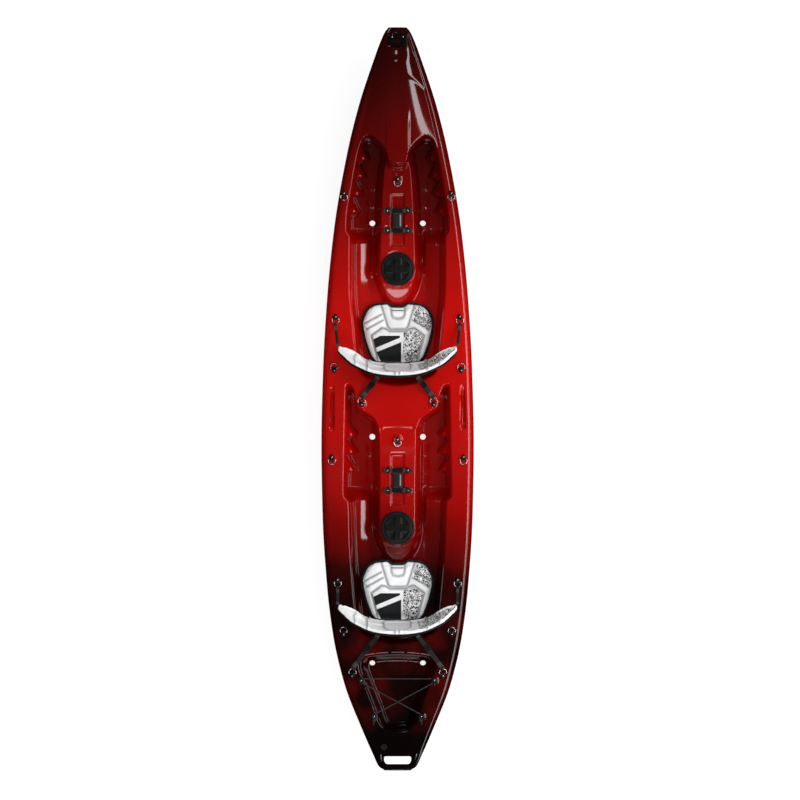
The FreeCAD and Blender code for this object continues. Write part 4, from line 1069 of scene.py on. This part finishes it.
slider_places = []
for end in ("front", "rear"):
    near_end = [f for f in retainer_feet if abs(f[1] - hatch_feet[end][1]) < 400]
    rows = sorted({round(f[1], 1) for f in near_end})
    base = near_end[0][2] + RETAINER_LUG_RISE
    tapes = []
    for k, row in enumerate(rows):
        x = spaced(-RETAINER_HALF_SPAN, RETAINER_HALF_SPAN, 3)
        lift = base + 1.1 + 1.6 * ramp(24 - np.abs(x), 14)
        wide = tape("strap", np.column_stack([x, np.full(len(x), row), lift]), RETAINER_TAPE, 1.8, (0, 0, 1),
                    (np.abs(np.abs(x) - 33) < 5).astype(float) + (np.abs(np.abs(x) - 66) < 3))
        # The tape's tips are cut to a point.
        points = coords(wide)
        tip = np.clip((np.abs(points[:, 0]) - (RETAINER_HALF_SPAN - 7)) / 7, 0, 1)
        points[:, 1] = row + (points[:, 1] - row) * (1 - 0.55 * tip)
        set_coords(wide, points)
        tapes.append(wide)
        slider_places.append(at((0, row, base + 4.2), LEVEL, 180 * (k % 2)))
    piece(joined(f"retainer_{end}_tapes", tapes), "hull", "webbing", f"retainer_{end}_straps")
    centre = (rows[0] + rows[-1]) / 2
    y = spaced(centre - 50, centre + 50, 3)
    rise = base + 3.1 + 0.8 * hump(y, centre, 10, 40)
    panel = tape("panel", np.column_stack([np.zeros(len(y)), y, rise]), 48, 2.0, (0, 0, 1),
                 (np.abs(np.abs(y - centre) - 34) < 1.2).astype(float))
    piece(panel, "hull", "webbing", f"retainer_{end}_panel")
    panel.name = f"retainer_{end}_web_panel"
    stripe = tape("stripe", np.column_stack([np.full(len(y), 14.0), y, rise + 1.0])[7:-7], 7, 0.5, (0, 0, 1))
    stripe.name = f"retainer_{end}_stripe"
    piece(stripe, "hull", "webbing")
    stripe.data.materials[0] = MATERIALS["trim"]
piece(stamped("retainer_slider_set", triglide(), slider_places), "hull", "black_nylon", "retainer_sliders")

# ---------------------------------------------------------------- bow handle
handle_middle = (handle_low + handle_high) / 2
HANDLE_OUTLINE = [(-44, 15), (-38, 29), (38, 29), (44, 15), (44, -20), (32, -29), (-32, -29), (-44, -20)]
FINGER_OUTLINE = [(-26, 5), (26, 5), (23, -12), (16, -15), (-16, -15), (-23, -12)]
handle = slab("bow_grab_handle", [rounded(HANDLE_OUTLINE, 12, 7), rounded(FINGER_OUTLINE, 7, 6)], 0.2, 9, 2.6)
ribs = [slab("rib", [oblong(x - 1.5, x + 1.5, -26.5, -17.5, 1, 3)], 8, 10, 0.7) for x in range(-20, 21, 8)]
handle = joined("bow_grab_handle", [handle] + ribs)
handle_at = at((handle_middle[0], handle_middle[1], handle_low[2]))
handle.data.transform(handle_at)
piece(handle, "hull", "handle_rubber", "bow_handle")
set_screws("bow_grab_screws", [raised(handle_at, side * 27, 19, 8.6) for side in (1, -1)], "steel",
           "bow_handle_screws")

# ---------------------------------------------------------------- seats
def line_distance(points, line):
    """Distance from points to an open line."""
    best = np.full(len(points), 1e9)
    line = np.asarray(line, float)
    for a, b in zip(line[:-1], line[1:]):
        step = b - a
        t = np.clip(((points - a) @ step) / (step @ step), 0, 1)
        best = np.minimum(best, np.linalg.norm(points - a - t[:, None] * step, axis=1))
    return best


def edge_distance(points, outline):
    """Signed distance from points to a closed outline, positive inside."""
    outline = np.asarray(outline, float)
    ring = np.concatenate([outline, outline[:1]])
    inside = np.zeros(len(points), bool)
    for a, b in zip(ring[:-1], ring[1:]):
        crosses = (a[1] > points[:, 1]) != (b[1] > points[:, 1])
        where = a[0] + (points[:, 1] - a[1]) / (b[1] - a[1] + 1e-12) * (b[0] - a[0])
        inside ^= crosses & (points[:, 0] < where)
    best = line_distance(points, ring)
    return np.where(inside, best, -best)


def remeshed(obj, size):
    modifier = obj.modifiers.new("remesh", "REMESH")
    modifier.mode = "VOXEL"
    modifier.voxel_size = size * MM
    modifier.use_smooth_shade = True
    return apply_modifiers(obj)


def subdivided(obj):
    obj.modifiers.new("finer", "SUBSURF").levels = 1
    obj.modifiers["finer"].render_levels = 1
    return apply_modifiers(obj)


def inflate(obj, held, cap):
    """Blow padding up under its cover with a short cloth simulation. Points marked held stay put."""
    rest = coords(obj)
    group = obj.vertex_groups.new(name="held")
    group.add([int(i) for i in np.nonzero(held)[0]], 1.0, "REPLACE")
    cloth = obj.modifiers.new("cloth", "CLOTH")
    settings = cloth.settings
    settings.quality = 6
    settings.mass = 0.2
    settings.tension_stiffness = 12
    settings.compression_stiffness = 12
    settings.shear_stiffness = 5
    settings.bending_stiffness = 0.4
    settings.vertex_group_mass = "held"
    settings.use_pressure = True
    settings.uniform_pressure_force = 4
    settings.effector_weights.gravity = 0
    cloth.point_cache.frame_start = 1
    cloth.point_cache.frame_end = 20
    for number in range(1, 21):
        bpy.context.scene.frame_set(number)
    graph = bpy.context.evaluated_depsgraph_get()
    blown = np.zeros(len(rest) * 3)
    obj.evaluated_get(graph).data.vertices.foreach_get("co", blown)
    moved = blown.reshape(-1, 3) / MM - rest
    far = np.linalg.norm(moved, axis=1)
    obj.modifiers.clear()
    set_coords(obj, rest + moved * np.minimum(1, cap / np.maximum(far, 1e-6))[:, None])
    bpy.context.scene.frame_set(1)


def store(obj, name, values):
    attribute = obj.data.attributes.new(name, "FLOAT", "POINT")
    attribute.data.foreach_set("value", np.asarray(values, np.float32))


def groove(distance, width, depth):
    return depth * np.exp(-(distance / width) ** 2)


PAD_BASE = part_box("seat_front_pad")[0].z / MM
PAD_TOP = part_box("seat_front_pad")[1].z / MM
PAD_HALF = ((0, 471), (30, 471), (47, 488), (121, 481), (159, 455), (186, 391), (181, 343), (164, 274),
            (137, 205), (112, 178), (0, 170))
PAD_HEEL = 189
BINDING = 13
SWELL = 7
PAD_THIN = 9
TRAPEZOID = [(-133, 318), (-82, 356), (-60, 353), (-42, 341), (45, 341), (62, 355), (86, 356), (137, 318),
             (97, 172), (-93, 172)]
FRONT_PANEL = [(-82, 480), (-62, 400), (-49, 360), (-38, 350), (42, 350), (53, 360), (66, 400), (84, 480)]
THIGH_FLECKS = [(90, 468), (116, 466), (154, 441), (178, 404), (169, 366), (152, 342), (82, 389), (84, 420)]
SEAT_FLECKS = [(30, 334), (58, 336), (68, 346), (86, 347), (128, 316), (92, 178), (44, 178), (26, 230)]
# A plain dark block crossed by a light sash.
INK_LOWER = [(-106, 236), (-82, 184), (18, 184), (18, 286)]
INK_UPPER = [(-122, 300), (-112, 256), (12, 308), (12, 318), (-86, 318)]


def make_pad():
    outline = rounded(mirror(PAD_HALF), 22, 7)
    pad = prism("pad", outline, PAD_BASE + 0.5, PAD_TOP - 3)
    remeshed(pad, 5)
    start = coords(pad)
    inflate(pad, start[:, 2] < PAD_BASE + 6, SWELL)
    subdivided(pad)
    points = coords(pad)
    facing = normals(pad)
    flat = points[:, :2]
    top = ramp(facing[:, 2] - 0.2, 0.5)
    edge = edge_distance(flat, outline)
    cut = np.zeros(len(points))
    for side in (1, -1):
        for line, width, depth in (
                ([(-84 * side, 474), (-62 * side, 400), (-49 * side, 360), (-38 * side, 350), (0, 350)],
                 5.5, 8),
                ([(-34 * side, 464), (-33 * side, 424), (-24 * side, 408), (0, 403)], 7, 7),
                ([(-166 * side, 380), (-82 * side, 425)], 5, 8),
                ([(-158 * side, 350), (-74 * side, 396)], 5, 8),
                ([(0, 341), (-42 * side, 341), (-60 * side, 353), (-82 * side, 356), (-133 * side, 318),
                  (-93 * side, 172)], 5.5, 9)):
            cut = np.maximum(cut, groove(line_distance(flat, line), width, depth))
    cut = np.maximum(cut, groove(line_distance(flat, [(-30, 445), (28, 445)]), 2.4, 4))
    cut = np.maximum(cut, groove(np.abs(edge - BINDING - 1), 2.4, 4))
    # Panels crown between their seams.
    crown = 6 * ramp(np.minimum(edge - BINDING, line_distance(flat, FRONT_PANEL)), 34)
    crown += 4 * ramp(edge_distance(flat, TRAPEZOID), 50)
    ripple = 0.5 * np.sin(flat[:, 0] / 13 + 1.3 * np.sin(flat[:, 1] / 21)) * np.sin(flat[:, 1] / 17)
    shift = (crown + ripple * ramp(edge - BINDING, 12) - cut) * top
    points = points + np.outer(shift, (0, 0, 1))
    points[:, 2] = np.maximum(points[:, 2], PAD_BASE + 0.3)
    # The pad's front edge lies on the foot of the console's nose.
    under = deck(points[:, 0], points[:, 1]) + 1
    thick = np.clip(points[:, 2] - PAD_BASE, 0, None)
    lifted = under + PAD_THIN * np.clip(thick / (PAD_TOP - PAD_BASE), 0, 1)
    points[:, 2] = np.maximum(points[:, 2], np.where(np.abs(points[:, 0]) < 110, lifted, -1e3))
    # Its rear edge is squeezed flat under the backrest.
    low = PAD_HEEL + (PAD_TOP + 12 - PAD_HEEL) * ramp(points[:, 1] - 196, 40)
    points[:, 2] = np.minimum(points[:, 2], low)
    set_coords(pad, points)
    flat = points[:, :2]
    ink = np.maximum(edge_distance(flat, INK_LOWER), edge_distance(flat, INK_UPPER))
    slot = 2.2 - line_distance(flat, [(-29, 445), (27, 445)])
    fleck = np.maximum(edge_distance(flat, THIGH_FLECKS), edge_distance(flat, SEAT_FLECKS))
    store(pad, "ink", np.where(facing[:, 2] > 0, np.maximum(ink, slot), -9))
    # The seam attribute paints shade into the grooves, darkest where they cut deepest.
    store(pad, "seam", np.clip(cut / 8, 0, 1) * top)
    store(pad, "fleck", np.where(facing[:, 2] > 0, fleck, -9))
    store(pad, "edge", np.where(facing[:, 2] > -0.2, BINDING - edge, 9))
    return pad


# The backrest is drawn flat in (x, height, depth), then swept round the paddler's back.
BACK_FRONT = -11
HINGE = np.array([0, 157, 200.0])
LEAN = math.radians(8.5)
BACK_HALF = ((0, 0), (142, 0), (162, 14), (185, 73), (210, 136), (302, 150), (302, 170), (240, 224),
             (150, 261), (0, 273))
WING_FLECKS = [(100, 18), (140, 18), (172, 72), (200, 148), (288, 160), (288, 168), (232, 214), (150, 244),
               (110, 250)]


# How far forward the backrest's lower front edge and its upper back edge lie, at each half width.
BACK_FOOT = ((0, 186), (60, 187), (116, 191), (147, 199), (185, 222), (222, 247), (247, 260), (285, 268),
             (302, 264))
BACK_CREST = ((0, 106), (60, 109), (116, 118), (147, 127), (185, 142), (222, 159), (247, 177), (285, 214),
              (302, 238))
BACK_LOW = ((0, 0), (142, 0), (162, 14), (185, 73), (210, 136), (302, 150))
BACK_HIGH = ((0, 273), (150, 261), (240, 224), (302, 170))
BACK_DEEP = 30


def bent(points):
    """Curve and lean flat backrest points (x, depth aft, height) into place."""
    x, depth, height = points[:, 0], points[:, 1], points[:, 2]
    a = np.abs(x)
    low, high = curve(BACK_LOW, a), curve(BACK_HIGH, a)
    share = np.clip((height - low) / np.maximum(high - low, 20), 0, 1)
    foot = curve(BACK_FOOT, a)
    y = foot + (curve(BACK_CREST, a) + BACK_DEEP - foot) * share - (depth - BACK_FRONT)
    return np.column_stack([x, y, height * math.cos(LEAN) + HINGE[2]])


def upright_slab(name, outline, front, back):
    """Closed flat solid of (x, height) outline, between two depths."""
    rings = [np.column_stack([outline[:, 0], np.full(len(outline), d), outline[:, 1]]) for d in (back, front)]
    return tube_of_rings(name, rings)


def back_outline(grow):
    outline = rounded(mirror(BACK_HALF), 24, 7)
    centre = np.array([0, 140.0])
    arms = outline - centre
    length = np.maximum(np.linalg.norm(arms, axis=1), 60)
    return centre + arms * (1 + grow / length)[:, None]


def make_backrest():
    outline = back_outline(0)
    rest = upright_slab("cushion", back_outline(-4), -11, 10.5)
    remeshed(rest, 5)
    flat = coords(rest)
    set_coords(rest, bent(flat))
    inflate(rest, flat[:, 1] > 6, SWELL)
    store(rest, "flat_x", flat[:, 0])
    store(rest, "flat_depth", flat[:, 1])
    store(rest, "flat_height", flat[:, 2])
    subdivided(rest)

    def read(name):
        out = np.zeros(len(rest.data.vertices), np.float32)
        rest.data.attributes[name].data.foreach_get("value", out)
        return out.astype(float)

    face = np.column_stack([read("flat_x"), read("flat_height")])
    depth = read("flat_depth")
    front = ramp(9 - depth, 8)
    edge = edge_distance(face, outline)
    cut = np.zeros(len(face))
    for side in (1, -1):
        for line, width, depth_of in (
                ([(8 * side, 288), (11 * side, 264), (40 * side, 234), (66 * side, 178), (72 * side, 48),
                  (60 * side, 20), (0, 16)], 5, 5.5),
                ([(152 * side, 278), (150 * side, 228), (158 * side, 108), (140 * side, 8)], 5, 6),
                ([(212 * side, 238), (214 * side, 193), (206 * side, 148)], 5, 4)):
            cut = np.maximum(cut, groove(line_distance(face, line), width, depth_of))
    crown = 5 * ramp(edge, 40)
    shift = (crown - 1.4 * cut) * front
    points = coords(rest) + normals(rest) * shift[:, None]
    set_coords(rest, points)
    fleck = edge_distance(face, WING_FLECKS)
    store(rest, "fleck", np.where(depth < 7, fleck, -9))
    store(rest, "ink", np.full(len(face), -9.0))
    # The seam attribute paints shade into the grooves, darkest where they cut deepest.
    store(rest, "seam", np.clip(cut / 6, 0, 1) * front)
    store(rest, "edge", np.where(depth > 8.4, 9, -9))
    return rest


def make_back_shell():
    """Stiff back cover with a rolled rim and a raised spine panel."""
    shell = upright_slab("shell", back_outline(1.5), 8.5, 19)
    remeshed(shell, 4.5)
    flat = coords(shell)
    face = flat[:, [0, 2]]
    edge = edge_distance(face, back_outline(1.5))
    back = ramp(flat[:, 1] - 13, 4)
    panel = 2.5 * ramp(edge - 22, 6) - 2 * hump(edge, 15, 2, 3)
    spine = 3 * hump(flat[:, 0], 0, 36, 8) * ramp(edge - 24, 12)
    flat[:, 1] += back * (panel + spine)
    set_coords(shell, bent(flat))
    modifier = shell.modifiers.new("soft", "SMOOTH")
    modifier.factor = 0.5
    modifier.iterations = 3
    apply_modifiers(shell)
    shell.data.shade_smooth()
    return shell


SIDE_TAPE = 15
BACK_TAPE = 23
RING_BEND = 27
SIDE_TIP = np.array([299, 266, 358.0])
BACK_ANCHOR = np.array([98, 112, 352.0])


def ring_bend(spot):
    """Where a strap pulls on its ring, and the direction across the ring."""
    place = eye_places[spot]
    bend = np.array(place @ Vector((0, (-RING_BEND + 3) * MM, EYE_HEIGHT / 2 * MM))) / MM
    across = np.array(place.to_3x3() @ Vector((1, 0, 0)))
    return bend, across


def strap(name, start, spot, width, sag):
    """Tape from a point on the backrest down to its ring, round the ring and back on itself."""
    bend, across = ring_bend(spot)
    away = unit(bend - start)
    side = unit(np.cross(away, (0, 0, 1)))
    up = np.cross(side, away)
    length = np.linalg.norm(bend - start)
    path = []
    for t in np.linspace(0, 1, max(int(length / 5), 6)):
        path.append(start + (bend - start) * t - np.array([0, 0, sag * 4 * t * (1 - t)]) + up * 3.4 * t)
    ups = [up] * len(path)
    for turn in np.radians(np.linspace(90, -90, 7))[1:]:
        path.append(bend + away * 3.4 * math.cos(turn) + up * 3.4 * math.sin(turn))
        ups.append(up * math.sin(turn) + away * math.cos(turn))
    back = min(38.0, 0.45 * length)
    for t in np.linspace(0, back, 8)[1:]:
        path.append(bend - away * t - up * (3.4 - 1.7 * ramp(t, 20)))
        ups.append(-up)
    path = np.array(path)
    marks = np.zeros(len(path))
    gone = np.linalg.norm(path - bend, axis=1)
    marks[(gone > 14) & (gone < 36)] = 1
    start_gone = np.linalg.norm(path - start, axis=1)
    marks[start_gone < 12] = 1
    return tape(name, path, width, 1.8, np.array(ups), marks), bend


def ladder_lock(start, bend, share):
    """Ladder-lock buckle lying on a strap."""
    away = unit(bend - start)
    side = unit(np.cross(away, (0, 0, 1)))
    up = np.cross(side, away)
    outer = rounded([(-15.5, -17), (15.5, -17), (14, 17), (-14, 17)], 4, 5)
    first = oblong(-12, 12, -13, -6, 1.2, 3)
    second = rounded([(-12, -2), (12, -2), (11.5, 5), (-11.5, 5)], 1.2, 3)
    body = slab("buckle", [outer, first, second], -1, 4.2, 1.3)
    bar = slab("bar", [oblong(-14.5, 14.5, -5.6, -2.4, 1, 3)], 1.5, 6, 1.1)
    tab = slab("tab", [rounded([(-11, 8), (11, 8), (9, 21), (-9, 21)], 3, 4)], 2.8, 5.6, 1.1)
    whole = joined("buckle", [body, bar, tab])
    spot = start + (bend - start) * share + up * 2.2
    turn = Matrix((side, away, up)).transposed().to_4x4()
    if turn.determinant() < 0:
        turn = Matrix((-side, away, up)).transposed().to_4x4()
    whole.data.transform(Matrix.Translation(Vector(spot) * MM) @ turn)
    return whole


pad_source = make_pad()
back_source = make_backrest()
shell_source = make_back_shell()
for end, shift in (("front", 0.0), ("rear", -PITCH)):
    body = f"backrest_{end}"
    for source, new_name, mover, slot_name, node in (
            (pad_source, "cushion", "hull", "seat_fabric", "pad"),
            (back_source, "back_cushion", body, "seat_fabric", "backrest"),
            (shell_source, "back_cover", body, "black_nylon", "back_board")):
        placed = copied(source, f"seat_{end}_{new_name}", Matrix.Translation((0, shift * MM, 0)))
        piece(placed, mover, slot_name, f"seat_{end}_{node}")
    along = np.array([0, shift, 0])
    for side, tag in ((1, "starboard"), (-1, "port")):
        mirror_x = np.array([side, 1, 1])
        tip = SIDE_TIP * mirror_x + along
        anchor = BACK_ANCHOR * mirror_x + along
        made, bend = strap(f"seat_{end}_side_strap_{tag}", tip, f"side_{end}_{side}", SIDE_TAPE, 2)
        made_back, bend_back = strap(f"seat_{end}_back_strap_{tag}", anchor, f"back_{end}_{side}",
                                     BACK_TAPE, 3)
        buckle = ladder_lock(anchor, bend_back, 0.4)
        buckle.name = f"seat_{end}_buckle_{tag}"
        for obj, slot_name, first, last, node in (
                (made, "webbing", bend, tip, f"seat_{end}_side_straps"),
                (made_back, "webbing", bend_back, anchor, f"seat_{end}_back_straps"),
                (buckle, "black_nylon", bend_back, anchor, f"seat_{end}_buckles")):
            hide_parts(node)
            dress(obj, slot_name)
            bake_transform(obj)
for source in (pad_source, back_source, shell_source):
    bpy.data.objects.remove(source)

# ---------------------------------------------------------------- finishes for the parts shown as they are
SHOWN = {
    "strap_rings": "steel", "hatch_front_rim": "black_nylon", "hatch_rear_rim": "black_nylon",
    "hatch_front_seal": "seal_rubber", "hatch_rear_seal": "seal_rubber", "drain_collar": "black_nylon",
    "drain_seal": "seal_rubber", "drain_plug": "plug_plastic", "foam_block_bow": "foam",
    "foam_block_stern": "foam",
}
for name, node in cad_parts.items():
    if not node.hide_render:
        dress(node, SHOWN.get(name, "steel"))

# ---------------------------------------------------------------- stage
view = bpy.context.scene.view_settings
view.view_transform = "Standard"

CAMERA_SPAN = 4.0
DECK_LEVEL = 0.3
camera_data = bpy.data.cameras.new("camera")
camera_data.sensor_width = 36
camera_data.lens = 400
camera_data.clip_end = 400
camera = linked("camera", camera_data)
distance = CAMERA_SPAN * camera_data.lens / camera_data.sensor_width
camera.location = (0.012, -0.004, DECK_LEVEL + distance)
bpy.context.scene.camera = camera

# The room is bright to matt surfaces, most of all from above the right side, and dim in reflections,
# so that gloss shows only the soft lights.
world = bpy.data.worlds.new("world")
bpy.context.scene.world = world
world.use_nodes = True
nodes = world.node_tree.nodes
links = world.node_tree.links
sky = nodes["Background"]
dim = nodes.new("ShaderNodeBackground")
both = nodes.new("ShaderNodeMixShader")
path = nodes.new("ShaderNodeLightPath")
look = nodes.new("ShaderNodeTexCoord")
toward = nodes.new("ShaderNodeVectorMath")
toward.operation = "DOT_PRODUCT"
toward.inputs[1].default_value = (0.55, 0.1, 0.83)
strength = nodes.new("ShaderNodeMapRange")
for socket, value in zip(("From Min", "From Max", "To Min", "To Max"), (-0.4, 1.0, 0.1, 1.15)):
    strength.inputs[socket].default_value = value
sky.inputs["Color"].default_value = (1, 1, 1, 1)
dim.inputs["Color"].default_value = (1, 1, 1, 1)
dim.inputs["Strength"].default_value = 0.035
links.new(look.outputs["Generated"], toward.inputs[0])
links.new(toward.outputs["Value"], strength.inputs["Value"])
links.new(strength.outputs[0], sky.inputs["Strength"])
links.new(path.outputs["Is Glossy Ray"], both.inputs[0])
links.new(sky.outputs[0], both.inputs[1])
links.new(dim.outputs[0], both.inputs[2])
links.new(both.outputs[0], nodes["World Output"].inputs["Surface"])

bpy.ops.mesh.primitive_plane_add(size=60, location=(0, 0, -0.002))
ground = bpy.context.object
ground.name = "floor"
net = Net("floor")
# The floor is left out of reflections in the same way.
matt = net.math("SUBTRACT", 1.0, net.add("ShaderNodeLightPath").outputs["Is Glossy Ray"])
tone = net.mix(matt, (0, 0, 0, 1), (0.2, 0.2, 0.2, 1))
ground.data.materials.append(net.finish(tone, 1.0, Emission_Color=(1, 1, 1, 1), Specular_IOR_Level=0.0,
                                        Emission_Strength=net.times(matt, 0.86)))


def soft_light(name, place, target, width, height, power):
    data = bpy.data.lights.new(name, "AREA")
    data.shape = "RECTANGLE"
    data.size, data.size_y = width, height
    data.energy = power
    light = linked(name, data)
    light.location = place
    light.rotation_euler = (Vector(target) - Vector(place)).to_track_quat("-Z", "Y").to_euler()


soft_light("key", (4.2, 0.3, 5.0), (0, 0.3, 0.2), 7.6, 1.3, 245)
soft_light("side", (6.2, -1.4, 3.2), (0, -1.0, 0.2), 4.6, 1.8, 110)
soft_light("aft", (0.1, -5.0, 5.2), (0, -0.2, 0.2), 2.6, 2.2, 110)
soft_light("fore", (-0.7, 3.0, 5.6), (0, 0.3, 0.2), 0.9, 0.7, 14)
